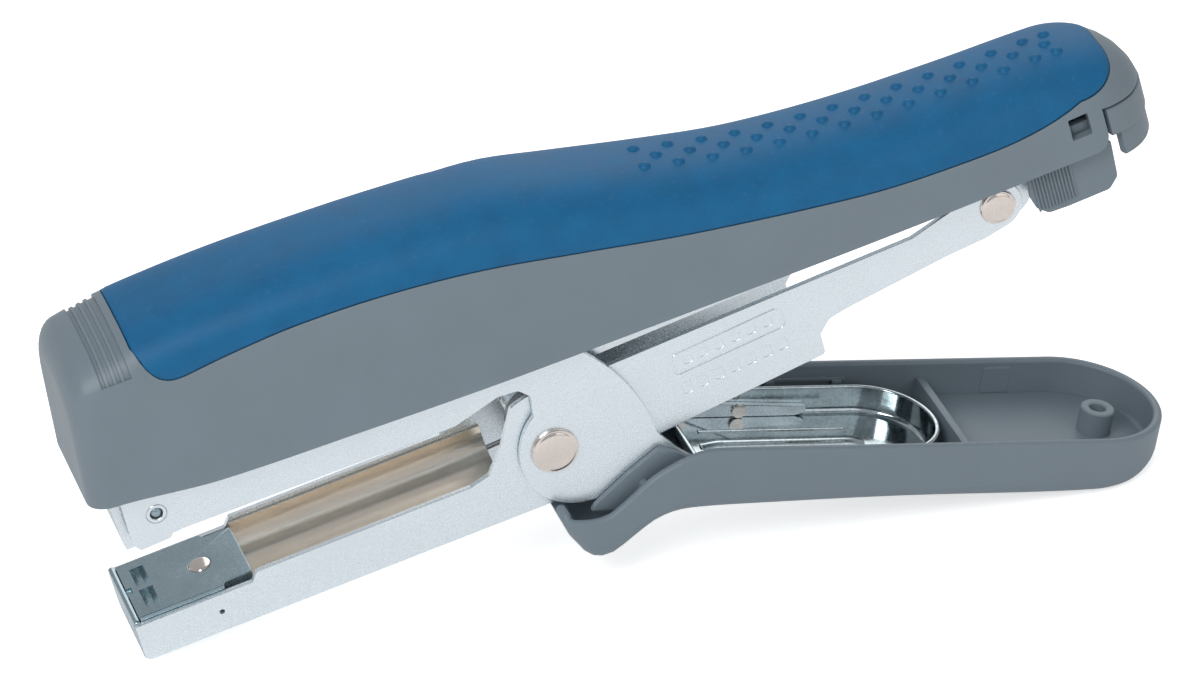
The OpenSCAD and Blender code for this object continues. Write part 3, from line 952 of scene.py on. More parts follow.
class Cover:
    """Surface of the upper handle.

    It is made of half rings from the skirt up to the crown, turned round the rear end.
    """

    turn_u = SZ.end_u - SZ.cover_half
    nose_r = 4.5
    crown_height = 10.0

    def half_width(self, u: float, d: float) -> float:
        """Half width of the plan view.

        Args:
            u: distance along the handle.
            d: depth below the outer surface.

        Returns:
            The half width, in mm.
        """
        nose_r, w, behind = self.nose_r, SZ.cover_half - d, u - SZ.nose_u - d
        if behind < nose_r:
            return w - nose_r + math.sqrt(max(0.0, nose_r**2 - (nose_r - behind) ** 2))
        return w

    def parts(self, u: float, d: float) -> tuple[float, float, float, float, float]:
        """Sizes of one half ring.

        Args:
            u: distance along the handle.
            d: depth below the outer surface.

        Returns:
            Half width, skirt height, crown height, height of the crown's curve and its exponent.
        """
        nose = max(0.0, 1 - (u - SZ.nose_u - d) / 5)
        top = smooth_line(TOP_LINE, u) - d - 5 * (1 - math.sqrt(max(0.0, 1 - min(1.0, nose) ** 2)))
        low = smooth_line(SKIRT_LINE, u)
        return (self.half_width(u, d), low, top, min(self.crown_height, top - low - 0.5),
                3 - 0.6 * max(0, u) / 70 if u < 70 else 2.3)

    def point(self, u: float, t: float, d: float = 0.0) -> Point:
        """A point of the surface.

        Args:
            u: distance along the handle.
            t: place on the half ring, 0 at the skirt, 1 where the crown begins and 2 at the middle.
            d: depth below the outer surface.

        Returns:
            The point, on the +Y side.
        """
        w, low, top, c, n = self.parts(u, d)
        a = math.radians(90 * min(1.0, max(0.0, t - 1)))
        y = 0.0 if t >= 2 else w * max(0.0, math.cos(a)) ** (2 / n)
        if u > self.turn_u:
            round_the_end = math.asin(min(1.0, (u - self.turn_u) / SZ.cover_half))
            u, y = self.turn_u + y * math.sin(round_the_end), y * math.cos(round_the_end)
            y = 0.0 if y < 1e-4 else y
            top, low = smooth_line(TOP_LINE, u) - d, smooth_line(SKIRT_LINE, u)
        v = low + (top - c - low) * t if t <= 1 else top - c + c * math.sin(a) ** (2 / n)
        lean = 2.6 * max(0.0, 1 - (u - SZ.nose_u) / 20) * max(-0.6, v - 8) / 20
        return (u + lean, y, v)

    def height(self, u: float, v: float) -> float:
        """Place on the half ring at a height.

        Args:
            u: distance along the handle.
            v: the height.

        Returns:
            The place, from 0 to 2.
        """
        _, low, top, c, n = self.parts(u, 0.0)
        if v <= top - c:
            return max(0.0, (v - low) / (top - c - low))
        q = min(1.0, (v - (top - c)) / c)
        return 1 + math.degrees(math.asin(min(1.0, q ** (n / 2)))) / 90

    def step(self, u: float, t: float, distance: float) -> float:
        """Moves along a half ring.

        Args:
            u: distance along the handle.
            t: place on the half ring.
            distance: how far to move, in mm.

        Returns:
            The new place.
        """
        a, b = Vector(self.point(u,
                                 max(0.0, t - 0.01))), Vector(self.point(u, min(1.999, t + 0.01)))
        return min(2.0, max(0.0, t + 0.02 * distance / max(1e-3, (b - a).length)))


@dataclass
class UpperHandle:
    """The moulded upper handle with its soft grip."""

    bench: Bench
    cover: Cover = field(default_factory=Cover)
    badge: Flat = (-3.2, 3.5)
    badge_low: float = 31.5
    badge_bars: tuple[Flat, ...] = ((-2.25, -1.47), (-0.45, 0.33), (1.25, 2.05))
    grip: Flat = (5.4, 204.0)
    rear_parting: float = 1.62
    seam: float = 52.2
    window: tuple[float, float, float, float] = (184.4, 188.4, 0.3, 4.9)
    dome_first: float = 107.5
    dome_pitch: float = 6.4
    dome_rows: tuple[tuple[float, float, int], ...] = (
        (3.4, 0.0, 14), (0.0, 3.2, 13), (-3.4, 0.0, 14))

    def build(self) -> None:
        """Places every piece of the handle."""
        self._shell()
        self._grip()
        self._dots()
        for node, look, edge in (("hinge_bushes", Look.SHELL, 0.15),
                                 ("handle_spine", Look.PLATED, 0.1),
                                 ("driver_blade", Look.ANVIL, 0.0),
                                 ("driver_rivets", Look.RIVET, 0.1)):
            self.bench.keep(node, look, edge)

    def _stations(self, first: float, last: float, inset: float) -> list[float]:
        """Places along the handle for its rings.

        Args:
            first: start.
            last: end.
            inset: depth below the outer surface at the nose and the tail.

        Returns:
            The places, in order, the same number for every inset.
        """
        nose = SZ.nose_u
        outer = [nose + self.cover.nose_r * (1 - math.cos(math.radians(90 * i / 8)))
                 for i in range(9)]
        outer += [-5.5, -4.3, -3.26, -3.2, -2.3, -2.22, -1.5, -1.42, -0.5, -0.42, 0.3, 0.38, 1.2,
                  1.28, 2.0, 2.08, 3.5, 3.56,
                  4.4, 5.0, 5.36, 5.42, 5.8, 6.3, 7, 7.8, 8.6, 9.4, 10.2, 11, 12, 13, 14.5, 16, 18,
                  20.5]
        outer += [23.5 + 3.0 * i for i in range(55)]
        c = SZ.end_u - SZ.cover_half
        outer = [u for u in outer if u < c - 1.0]
        outer += [c + SZ.cover_half * math.sin(math.radians(90 * i / 22)) for i in range(23)]
        outer = [u for u in sorted(set(outer)) if first - 1e-6 <= u <= last + 1e-6]
        return [u + inset * max(0.0, 1 - (u - nose) / (c - nose)) for u in outer]

    def _split(self, u: float) -> float:
        """Height that parts the lower and the upper rows of a ring.

        Args:
            u: distance along the handle.

        Returns:
            The height.
        """
        if u < 3.6:
            return min(self.badge_low, self.cover.parts(u, 0)[2] - 0.4)
        if u < self.grip[0]:
            return straight_line([(3.6, self.badge_low), (self.grip[0], GRIP_LINE[0][1])], u)
        return min(smooth_line(GRIP_LINE, u), self.cover.parts(u, 0)[2] - 0.4)

    def _parting(self, u: float) -> float:
        """Place on a half ring that parts its lower and upper rows.

        Args:
            u: distance along the handle.

        Returns:
            The place, which runs smoothly round the rear end.
        """
        turn_u = self.cover.turn_u
        if u <= turn_u:
            return self.cover.height(u, self._split(u))
        start = self.cover.height(turn_u, self._split(turn_u))
        share = min(1.0, (u - turn_u) / SZ.cover_half)
        return start + (self.rear_parting - start) * share**2

    def _depth(self, u: float) -> float:
        """Depth of the shell's surface above the split line.

        Args:
            u: distance along the handle.

        Returns:
            The depth, in mm.
        """
        if self.badge[0] - 0.01 <= u <= self.badge[1] + 0.01:
            return 0.22 if any(a <= u <= b for a, b in self.badge_bars) else 0.5
        return SZ.grip_t if self.grip[0] <= u <= self.grip[1] else 0.0

    def _shell(self) -> None:
        """Places the hard shell."""
        outer_u = self._stations(SZ.nose_u, SZ.end_u, 0)
        inner_u = self._stations(SZ.nose_u, SZ.end_u, SZ.cover_wall)
        lower, upper = 12, 16
        rows, inner_rows = [], []
        for u, ui in zip(outer_u, inner_u):
            t = self._parting(u)
            deep = self._depth(u)
            half = [self.cover.point(u, t * k / lower) for k in range(lower)]
            half += [self.cover.point(u, self.cover.step(u, t, -0.12)),
                     self.cover.point(u, t, min(0.12, deep))]
            half += [self.cover.point(u, self.cover.step(u, t, 0.05), deep)]
            start = self.cover.step(u, t, 0.4)
            half += [self.cover.point(u, start + (2 - start) * k / upper, deep)
                     for k in range(upper + 1)]
            rows.append(whole_ring(half))
            low = smooth_line(SKIRT_LINE, u)
            count = len(half)
            inside = [self.cover.point(ui, 2 * k / (count - 1), SZ.cover_wall)
                      for k in range(count)]
            inside[0] = (inside[0][0], inside[0][1], low)
            inner_rows.append(whole_ring(inside))
        n = len(rows[0])
        outer, inner = grid(rows), grid(inner_rows)
        for surface in (outer, inner):
            surface.faces.append(tuple(range(n)))
        base = len(outer.points)
        draft = joined_sides(outer, inner, n)
        draft.faces.append((0, n - 1, base + n - 1, base))
        tail = prism([(185.5, -30), (230, -30), (230, level_height(230, self.seam)),
                      (191.4, level_height(191.4, self.seam)), (191.4, -1.8),
                      (191.0, -3.1), (190.0, -4.0), (188.6, -4.5), (185.5, -4.62)], -30, 30, 0.01)
        window = prism(rectangle(*self.window, 0.3), -30, 30, 0.01)
        self.bench.place("handle_shell", draft, TOP, Look.SHELL, Body.HANDLE,
                         ["upper_handle_shell"],
                         [(tail, TOP), (window, TOP)], 28)

    def _grip(self) -> None:
        """Places the soft grip, a little proud of the shell with rounded edges."""
        first = self.grip[0] + 0.06
        places = [first, first + 0.12, first + 0.3, first + 0.6,
                  *self._stations(first + 0.9, SZ.end_u, 0)]
        rim = ((0.07, 0.75), (0.1, 0.35), (0.2, 0.1), (0.38, -0.02), (0.7, -0.1))
        upper = 20
        outer, inner = [], []
        for u in places:
            t = self._parting(u)
            sink = straight_line([(0, 0.75), (0.12, 0.2), (0.3, 0.03), (0.6, -0.08), (1, -0.1)],
                                 u - first)
            half = [self.cover.point(u, self.cover.step(u, t, a), max(b, sink)) for a, b in rim]
            start = self.cover.step(u, t, 1.0)
            half += [self.cover.point(u, start + (2 - start) * k / upper, max(-0.12, sink))
                     for k in range(upper + 1)]
            outer.append(whole_ring(half))
            count = len(half)
            low = self.cover.step(u, t, 0.07)
            under = [self.cover.point(u, low + (2 - low) * k / (count - 1), 0.95)
                     for k in range(count)]
            inner.append(whole_ring(under))
        n, base = len(outer[0]), len(outer) * len(outer[0])
        draft = joined_sides(grid(outer), grid(inner), n)
        draft.faces += [(j, j + 1, base + j + 1, base + j) for j in range(n - 1)]
        self.bench.place("soft_grip", draft, TOP, Look.GRIP, Body.HANDLE, ["grip_overmould"],
                         sharp=50)

    def _dots(self) -> None:
        """Places the three staggered rows of domes on the grip."""
        draft = Draft()
        bell = [(0.0, -0.3), (1.3, -0.3), (1.3, -0.02), (1.12, 0.06), (0.98, 0.24), (0.78, 0.46),
                (0.52, 0.62), (0.26, 0.7), (0.0, 0.72)]
        for across, shift, count in self.dome_rows:
            for k in range(count):
                u = self.dome_first + shift + self.dome_pitch * k
                t = self._ring_place(u, abs(across))
                at = Vector(self.cover.point(u, t, -0.1))
                ahead = Vector(self.cover.point(u + 0.5, t, -0.1)) - at
                side = Vector(self.cover.point(u, max(1.0, t - 0.05), -0.1)) - at
                normal = side.cross(ahead).normalized() if side.length > 1e-6 else Vector((0, 0, 1))
                normal *= 1 if normal.z > 0 else -1
                if across < 0:
                    at.y, normal.y = -at.y, -normal.y
                spin = Vector((0, 0, 1)).rotation_difference(normal).to_matrix()
                disc = turned(bell, (0, 0, 0), Axis.V, 20)
                disc.points = [tuple(at + spin @ Vector(p)) for p in disc.points]
                draft.add(disc)
        self.bench.place("grip_domes", draft, TOP, Look.GRIP, Body.HANDLE, sharp=60)

    def _ring_place(self, u: float, across: float) -> float:
        """Place on a half ring at a distance from the middle plane.

        Args:
            u: distance along the handle.
            across: the distance, in mm.

        Returns:
            The place, from 1 to 2.
        """
        low, high = 1.0, 2.0
        for _ in range(30):
            mid = (low + high) / 2
            if self.cover.point(u, mid)[1] > across:
                low = mid
            else:
                high = mid
        return high


# ---- lower handle --------------------------------------------------------------------------


# Heights along the lower handle: its underside and its rim
TRAY_BOTTOM: list[Flat] = [(2.4, -14.4), (5, -17.2), (7.3, -19.6), (9.2, -21.3), (11.4, -21.9),
                           (13.8, -21.2), (17.6, -17.6),
                          (21, -14.4), (25.5, -12.3), (31, -11.6), (40, -11.2), (70.5, -10.4),
                           (104.5, -10.3),
                          (119.5, -9.5), (125.5, -8.2), (128.5, -7.4)]
TRAY_RIM: list[Flat] = [(2.4, -12.8), (6, -13.3), (11.4, -12.3), (15, -8.7), (18.8, -4.3),
                        (24, -0.6), (28, 1.2), (31, 1.8),
                       (60, 1.8), (128.5, 1.8)]


def tray(front: float, rear: float, half: float, wall: float, floor_t: float,
         bottom: Callable[[float], float],
         rim: Callable[[float], float], fillet: float, corner: float = 2.5) -> Draft:
    """A tray with a round rear end, rounded edges and a rounded rim.

    Args:
        front: place of its front wall.
        rear: place of its rear end.
        half: half its width.
        wall: thickness of its walls.
        floor_t: thickness of its floor.
        bottom: height of its underside along it.
        rim: height of its rim along it.
        fillet: radius between its underside and its walls.
        corner: radius of its front corners in plan.

    Returns:
        The tray, closed.
    """
    centre = rear - half
    path: list[tuple[float, float, float, float]] = []

    def bend(cu: float, cy: float, r: float, a0: float, a1: float, n: int) -> None:
        """Adds a rounded corner of the plan view.

        Args:
            cu: centre along the tray.
            cy: centre across.
            r: radius.
            a0: first angle.
            a1: last angle.
            n: number of steps.
        """
        for i in range(n + 1):
            a = math.radians(a0 + (a1 - a0) * i / n)
            path.append((cu + r * math.cos(a), cy + r * math.sin(a), math.cos(a), math.sin(a)))

    lengths = [front + corner + (centre - front - corner) * i / 60 for i in range(1, 60)]
    bend(front + corner, -half + corner, corner, 180, 270, 6)
    path.extend((u, -half, 0.0, -1.0) for u in lengths)
    bend(centre, 0, half, -90, 90, 40)
    path.extend((u, half, 0.0, 1.0) for u in reversed(lengths))
    bend(front + corner, half - corner, corner, 90, 180, 6)
    path.extend((front, half - corner - (2 * half - 2 * corner) * i / 10, -1.0, 0.0)
                for i in range(1, 10))
    spine = (front + half, centre)
    round_r = wall * 0.42

    def inward(u: float, y: float, share: float) -> Flat:
        """A plan point drawn towards the tray's middle line.

        Args:
            u: distance along the tray.
            y: distance across.
            share: 1 at the wall and 0 on the middle line.

        Returns:
            The drawn-in point.
        """
        s = min(max(u, spine[0]), spine[1])
        return (s + (u - s) * share, y * share)

    rows = []
    for u, y, nu, ny in path:
        low, high = bottom(u), rim(u)
        high = max(high, low + floor_t + 0.6)
        r = min(fillet, (high - low) * 0.6)
        row: list[Point] = []
        for share in (0.0, 0.35, 0.7):
            pu, py = inward(u - nu * r, y - ny * r, share)
            row.append((pu, py, bottom(pu)))
        for i in range(7):
            a = math.radians(90 * i / 6)
            back = r * (1 - math.sin(a))
            pu = u - nu * back
            row.append((pu, y - ny * back,
                        bottom(pu) + (low - bottom(pu)) * i / 6 + r * (1 - math.cos(a))))
        for i in range(5):
            a = math.radians(90 * i / 4)
            back = round_r * (1 - math.cos(a))
            row.append((u - nu * back, y - ny * back, high - round_r + round_r * math.sin(a)))
        for i in range(5):
            a = math.radians(90 * i / 4)
            back = wall - round_r * (1 - math.sin(a))
            row.append((u - nu * back, y - ny * back, high - round_r + round_r * math.cos(a)))
        inner_r = min(1.2, max(0.2, (high - low - floor_t) * 0.4))
        for i in range(4):
            a = math.radians(90 * i / 3)
            back = wall + inner_r * (1 - math.cos(a))
            pu = u - nu * back
            row.append((pu, y - ny * back,
                        max(bottom(pu), low) + floor_t + inner_r * (1 - math.sin(a))))
        for share in (0.7, 0.35, 0.0):
            pu, py = inward(u - nu * (wall + inner_r), y - ny * (wall + inner_r), share)
            row.append((pu, py, bottom(pu) + floor_t))
        rows.append(row)
    rows.append(rows[0])
    return grid(rows)


@dataclass
class LowerHandle:
    """The frame plates, the pivot and the moulded lower handle."""

    bench: Bench
    divider_u: float = 84.0
    boss_u: float = 116.5
    wall: float = 1.8
    fillet: float = 3.2
    panel_start: float = 85.6
    panel_half: float = 15.2
    panel_round_u: float = 111.5

    def build(self) -> None:
        """Places every piece of the frame body."""
        self._plates()
        self._pivot()
        self._shell()
        self._channel()
        self.bench.keep("pivot_spacer", Look.PLATED, 0.1)
        self.bench.keep("handle_rivets", Look.RIVET, 0.2)

    def _outline(self) -> list[Flat]:
        """Side view of a frame plate, in the standing frame.

        Returns:
            The outline.
        """
        nose = TOP.seen_from(STAND, [(-6.2, -6), (1, -6.2)])
        legs = TRAY.seen_from(STAND, [(10, -11), (28.4, -9.2), (30, -7.1), (58, -7.1), (60, -6.4),
                                      (60, -5), (31, -3.8), (25, -0.6)])
        top = TOP.seen_from(STAND, [(10, 5.4), (-5.6, 5.6)])
        corners: list[Point] = [(nose[0][0] - 0.2, nose[0][1] + 1.4, 0.8),
                                (nose[0][0] + 1.2, nose[0][1], 0.6)]
        corners += [(*nose[1], 0.5), (nose[1][0] + 0.4, nose[1][1] + 0.9, 0.4),
                    (nose[1][0] + 2.4, nose[1][1] + 1.5, 0.6)]
        corners += [(-19, 9.4, 0), (-14.5, 11.8, 0), (-10.5, 13.9, 0), (-6.6, 14.4, 1.5),
                    (-4.2, 12.6, 1)]
        corners += [(a, b, 0.0) for a, b in arc((6, -0.2), 12.8, 140, 265, 40)]
        corners += [(a, b, 0.3) for a, b in legs]
        corners += [(a, b, 0.0) for a, b in arc((-18.2, -11.6), 40, 15.5, 56, 24)]
        corners += [(-2, 22.6, 0.5), (*top[0], 0.5), (*top[1], 0.8)]
        return rounded(corners)

    def _plates(self) -> None:
        """Places the two frame plates and the nose pins."""
        pin = TOP.seen_from(STAND, [(0, 0)])[0]
        rivets = TRAY.seen_from(STAND, [(34, -5.6), (46, -5.6)])
        holes = [arc((0, 0), 3.02, 360, 7.5, 47), arc(pin, 2.0, 360, 10, 35)]
        holes += [arc(p, 1.02, 360, 15, 23) for p in rivets]
        for side, name in ((-1, "left"), (1, "right")):
            low, high = sorted((side * SZ.frame_in, side * SZ.frame_half))
            plate = prism(self._outline(), low, high, 0.14, holes=holes)
            self.bench.place(f"{name}_side_plate", plate, STAND, Look.PLATED, Body.FRAME,
                             [f"{name}_frame_plate"])
        ring = turned([(1.25, 0.0), (1.96, 0.0), (1.96, 5.1), (1.86, 5.2), (1.36, 5.2), (1.25, 5.1),
                       (1.25, 0.0)], (0, 6.8, 0),
                      Axis.Y, 36).both()
        self.bench.place("nose_pin_rings", ring, TOP, Look.PLATED, Body.FRAME, ["nose_pins"])
        dome = turned([(0.0, 0.2), (1.12, 0.2), (1.12, 4.5), (0.98, 4.8), (0.6, 5.05), (0.0, 5.14)],
                      (0, 6.8, 0), Axis.Y, 32).both()
        self.bench.place("nose_pin_domes", dome, TOP, Look.ANVIL, Body.FRAME)

    def _pivot(self) -> None:
        """Places the pivot rivet and the opening spring."""
        head = turned(dome_head(4.6, 1.3, 0.75), (0, SZ.frame_half, 0), Axis.Y, 64).both()
        shank = turned([(0, -12.0), (2.95, -12.0), (2.95, 12.0), (0, 12.0)], (0, 0, 0))
        self.bench.place("pivot_rivet_heads", head.add(shank), STAND, Look.RIVET, Body.FRAME,
                         ["pivot_rivet"])
        path: list[Point] = []
        r, turns, pitch, steps = 5.0, 6, 1.08, 240
        edge = pitch * (turns - 1) / 2
        first, last = -40.0, 194.0 + 360 * (turns - 1)
        for k in range(steps + 1):
            a = math.radians(first + (last - first) * k / steps)
            path.append((r * math.cos(a), edge - 2 * edge * k / steps, r * math.sin(a)))
        start, end = math.radians(first), math.radians(last)
        lead = [(19 * math.cos(start), edge, 19 * math.sin(start)),
                (7 * math.cos(start), edge, 7 * math.sin(start))]
        trail = [(7 * math.cos(end), -edge, 7 * math.sin(end)),
                 (11 * math.cos(end), -edge, 11 * math.sin(end))]
        self.bench.place("lever_spring", tube(lead + path + trail, 0.5, 12), STAND, Look.SPRING,
                         Body.FRAME, ["opening_spring"], sharp=60)

    def _shell(self) -> None:
        """Places the moulded tray with its divider, floor panel and hanging hole."""
        shell = tray(2.4, SZ.handle_len, SZ.handle_half, self.wall, self.wall,
                     lambda u: smooth_line(TRAY_BOTTOM, u),
                     lambda u: smooth_line(TRAY_RIM, u), self.fillet)
        jaw_way = block((-8, 15.5), (-12.1, 12.1), (-13.7, 12), 0.02)
        hole = turned([(0, -20), (1.6, -20), (1.6, 10), (0, 10)], (self.boss_u, 0, 0), Axis.V, 40)
        self.bench.place("lower_tray", shell, TRAY, Look.SHELL, Body.FRAME, ["lower_handle_shell"],
                         [(jaw_way, TRAY), (hole, TRAY)], 34)
        start, half = self.panel_start, self.panel_half
        plan = [(start, -half), *arc((self.panel_round_u, 0), half, -90, 90, 36), (start, half)]
        panel = prism(plan, -7.6, -5.4, 0.25, Axis.V, [arc((self.boss_u, 0), 2.6, 360, 10, 35)])
        divider = prism(rectangle(self.divider_u, self.divider_u + self.wall, -15.6, 15.6, 0.3),
                        -9.5, -1.5, 0.35, Axis.V)
        boss = turned([(1.62, -9.4), (3.4, -9.4), (3.4, -0.6), (3.15, -0.35), (1.9, -0.35),
                       (1.62, -0.6), (1.62, -9.4)],
                      (self.boss_u, 0, 0), Axis.V, 48)
        rib = Draft()
        for side in (-1, 1):
            rib.add(block((98, 104), (side * 15.45 - 0.45, side * 15.45 + 0.45), (-5.5, 0.4), 0.25,
                          0.8))
        self.bench.place("tray_panel", panel.add(divider, boss, rib), TRAY, Look.SHELL, Body.FRAME)
        webs = prism(rounded([(9, -13, 0.4), (9.5, -11.6, 0.4), (15, -5, 0.5), (20.5, 0.6, 1.2),
                              (24.4, -0.4, 1), (30, -2.8, 0.5),
                              (30, -11.4, 0.4), (20, -12.6, 0.4)]), 12.1, 13.4, 0.3).both()
        gusset = prism(rounded([(17.5, -11.5, 0.5), (17.5, -6.5, 0.8), (19, -5.6, 0.8),
                                (19.4, -11.5, 0.5)]), 13.2, 15.6, 0.2).both()
        nubs = block((52, 54), (14.0, 15.6), (-4, -1.4), 0.3).both()
        nubs.add(block((66, 68), (14.0, 15.6), (-4, -1.4), 0.3).both(),
                 block((51, 69), (14.7, 15.5), (-1.9, -1.0), 0.2).both())
        self.bench.place("tray_webs", webs.add(gusset, nubs), TRAY, Look.SHELL, Body.FRAME)

    def _channel(self) -> None:
        """Places the pressed channel in the tray."""
        channel = tray(31.0, 82.4, 13.1, 1.05, 1.0, lambda u: -8.15,
                       lambda u: straight_line([(31, -5.6), (35, -1.45), (90, -1.45)], u),
                       1.6, 0.8)
        bead = tube([(35 + 3 * i, 0, -7.6 + (0.0 if 0 < i < 11 else -0.6)) for i in range(12)], 1.6,
                    20)
        rails = tube([(36 + 3 * i, 5.4, -7.75) for i in range(11)], 0.9, 16).both()
        # Its finish is the plated steel darkened with painted shade for the dark reflections inside
        # the tray.
        self.bench.place("stiffening_channel", channel.add(bead, rails), TRAY, Look.MIRROR,
                         Body.FRAME, ["handle_channel"])


# ---- anvil lever ---------------------------------------------------------------------------


@dataclass
class AnvilLever:
    """The pressed arm with the jaw in front of the pivot and the tail behind it."""

    bench: Bench
    plate_top: float = -3.4
    plate_t: float = 2.2
    rivet_u: float = -68.9
    engraved: float = 0.22
    bar_pitch: float = 3.3

    def build(self) -> None:
        """Places every piece of the lever."""
        self._arm()
        self._anvil()
        self._liner()
        tail = turned(dome_head(3.5, 1.0, 0.55), (SZ.tail[0], SZ.arm_half, SZ.tail[1]), Axis.Y,
                      56).both()
        shank = turned([(0, -10.5), (1.95, -10.5), (1.95, 10.5), (0, 10.5)],
                       (SZ.tail[0], 0, SZ.tail[1]))
        self.bench.place("tail_rivet_heads", tail.add(shank), STAND, Look.RIVET, Body.LEVER,
                         ["tail_rivet"])

    def _outline(self) -> list[Flat]:
        """Side view of the arm, in the standing frame.

        Returns:
            The outline.
        """
        low = SZ.jaw_low
        jaw = JAW.seen_from(STAND, [(-SZ.jaw_reach, -low), (-4, -low)])
        back = JAW.seen_from(STAND, [(-9.5, 3.6), (-13, -1.2), (-17, -2.3), (-60, -2.3),
                                     (-61.4, -4.2), (-SZ.jaw_reach, -4.2)])
        tu, tv = SZ.tail
        corners: list[Point] = [(*jaw[0], 1.6), (*jaw[1], 0)]
        corners += [(a, b, 0.0) for a, b in arc((0, 0), low, -78, -30, 14)]
        corners += [(21.2, -2.2, 2), (54.6, 8.2, 0.9), (53.6, 12.6, 0.6), (55.4, 15.6, 1.2),
                    (59, 17.2, 2), (79, 24.2, 0),
                    (tu - 2.6, tv - 6.6, 2)]
        corners += [(a, b, 0.0) for a, b in arc((tu, tv), 5, -70, 118, 30)]
        corners += [(tu - 9, tv + 1, 2), (72, 29.6, 0), (11.5, 15, 1)]
        corners += [(a, b, 0.0) for a, b in arc((0, 0), 12.6, 60, 128, 16)]
        corners += [(a, b, 0.5) for a, b in back]
        return rounded(corners)

    def _arm(self) -> None:
        """Places the arm with its engraved frame of plain bars."""
        hole = JAW.seen_from(STAND, [(-68.5, -8)])[0]
        holes = [arc((0, 0), 3.05, 360, 7.5, 47), arc(SZ.tail, 2.0, 360, 10, 35),
                 arc(hole, 0.5, 360, 20, 17)]
        sides = prism(self._outline(), SZ.arm_in, SZ.arm_half, 0.16, holes=holes).both()
        self.bench.place("pressed_arm", sides, STAND, Look.PLATED, Body.LEVER, ["anvil_arm"],
                         self._marks())
        base = prism(rectangle(-SZ.jaw_reach + 0.1, -12, -SZ.arm_in - 0.15, SZ.arm_in + 0.15, 0.3),
                     -SZ.jaw_low, -SZ.jaw_low + 1.2,
                     0.1, Axis.V)
        self.bench.place("jaw_floor", base, JAW, Look.PLATED, Body.LEVER)
        face = prism(rectangle(-SZ.arm_half + 0.3, SZ.arm_half - 0.3, -SZ.jaw_low + 0.05, -3.45,
                               0.9), -SZ.jaw_reach - 0.05,
                     -SZ.jaw_reach + 1.25, 0.5, Axis.U)
        self.bench.place("jaw_front", face, JAW, Look.ANVIL, Body.LEVER)

    def _marks(self) -> list[tuple[Draft, SideFrame]]:
        """Cutting shapes for a rounded frame with plain bars, on both tail plates.

        Returns:
            The shapes and their frame.
        """
        middle = STAND.at(35.6, 0, 13.4)
        plate = SideFrame(middle.x / MM, middle.z / MM, STAND.tilt + 16.0)
        deep, pitch = SZ.arm_half - self.engraved, self.bar_pitch
        ring = prism(rectangle(-11.6, 11.6, -0.6, 4.6, 1.4), deep, 11, 0.01,
                     holes=[rectangle(-11, 11, 0, 4, 1.0)[::-1]])
        bars = Draft()
        rows = ((6, -9.2, -7.3, 1.1, 2.9, 0.5), (7, -11.2, -9.1, -5.2, -2.6, 0.6))
        for count, first, last, low, high, corner in rows:
            for k in range(count):
                outline = rectangle(first + pitch * k, last + pitch * k, low, high, corner)
                bars.add(prism(outline, deep, 11, 0.01).both())
        return [(ring.both(), plate), (bars, plate)]

    def _anvil(self) -> None:
        """Places the hardened anvil plate and its rivet."""
        half = SZ.arm_in - 0.1
        top, thick = self.plate_top, self.plate_t
        plan = rounded([(-SZ.jaw_reach + 1.3, -half, 0.4), (-66.5, -half, 0.5),
                        (-66.0, -half + 1.2, 0.4), (-60.6, -half + 1.2, 0.5),
                        (-60.6, half - 1.2, 0.5), (-66.0, half - 1.2, 0.4), (-66.5, half, 0.5),
                        (-SZ.jaw_reach + 1.3, half, 0.4)])
        plate = prism(plan, top - thick, top, 0.18, Axis.V,
                      [arc((self.rivet_u, 0), 2.2, 360, 10, 35)])
        pockets = Draft()
        facets = [(-81.3, top + 1), (-81.3, top + 0.02), (-80.5, top - 1.2), (-79.5, top - 1.2),
                  (-78.5, top + 0.02), (-78.5, top + 1)]
        for side in (-1, 1):
            pockets.add(prism(facets, *sorted((side * 0.7, side * 6.6)), 0.01))
        notch = prism(rectangle(-83.8, -82.4, -1.2, 1.2, 0.3), top - 0.6, top + 2, 0.01, Axis.V)
        self.bench.place("clinching_plate", plate, JAW, Look.ANVIL, Body.LEVER, ["anvil_plate"],
                         [(pockets, JAW), (notch, JAW)])
        rivet = turned([(0, -11), (2.15, -11), (2.15, top - 0.02), (2.0, top + 0.16),
                        (1.5, top + 0.26), (0, top + 0.3)], (self.rivet_u, 0, 0), Axis.V)
        self.bench.place("anvil_rivet_head", rivet, JAW, Look.RIVET, Body.LEVER, ["anvil_rivet"])

    def _liner(self) -> None:
        """Places the bright trough with its lengthwise crease."""
        half, t = SZ.arm_in - 0.1, 0.5
        deep, power = SZ.jaw_low - 2.5 - 3.2, 2.0 / 2.7
        outer: list[Flat] = []
        for k in range(49):
            a = math.pi * k / 48
            y = -half * math.copysign(abs(math.cos(a)) ** power, math.cos(a))
            crease = 0.16 * math.exp(-(((y + 3.2) / 0.35) ** 2))
            outer.append((y, -3.2 - deep * math.sin(a) ** power + crease))
        inner = [(y * (half - t) / half, v + (t if 2 < k < 46 else 0)) for k,
                 (y, v) in enumerate(outer)][::-1]
        trough = prism(outer + inner, -60.6, -9.5, 0.04, Axis.U)
        self.bench.place("jaw_trough", trough, JAW, Look.LINER, Body.LEVER, ["jaw_liner"], sharp=24)


# ---- magazine and drawer -------------------------------------------------------------------


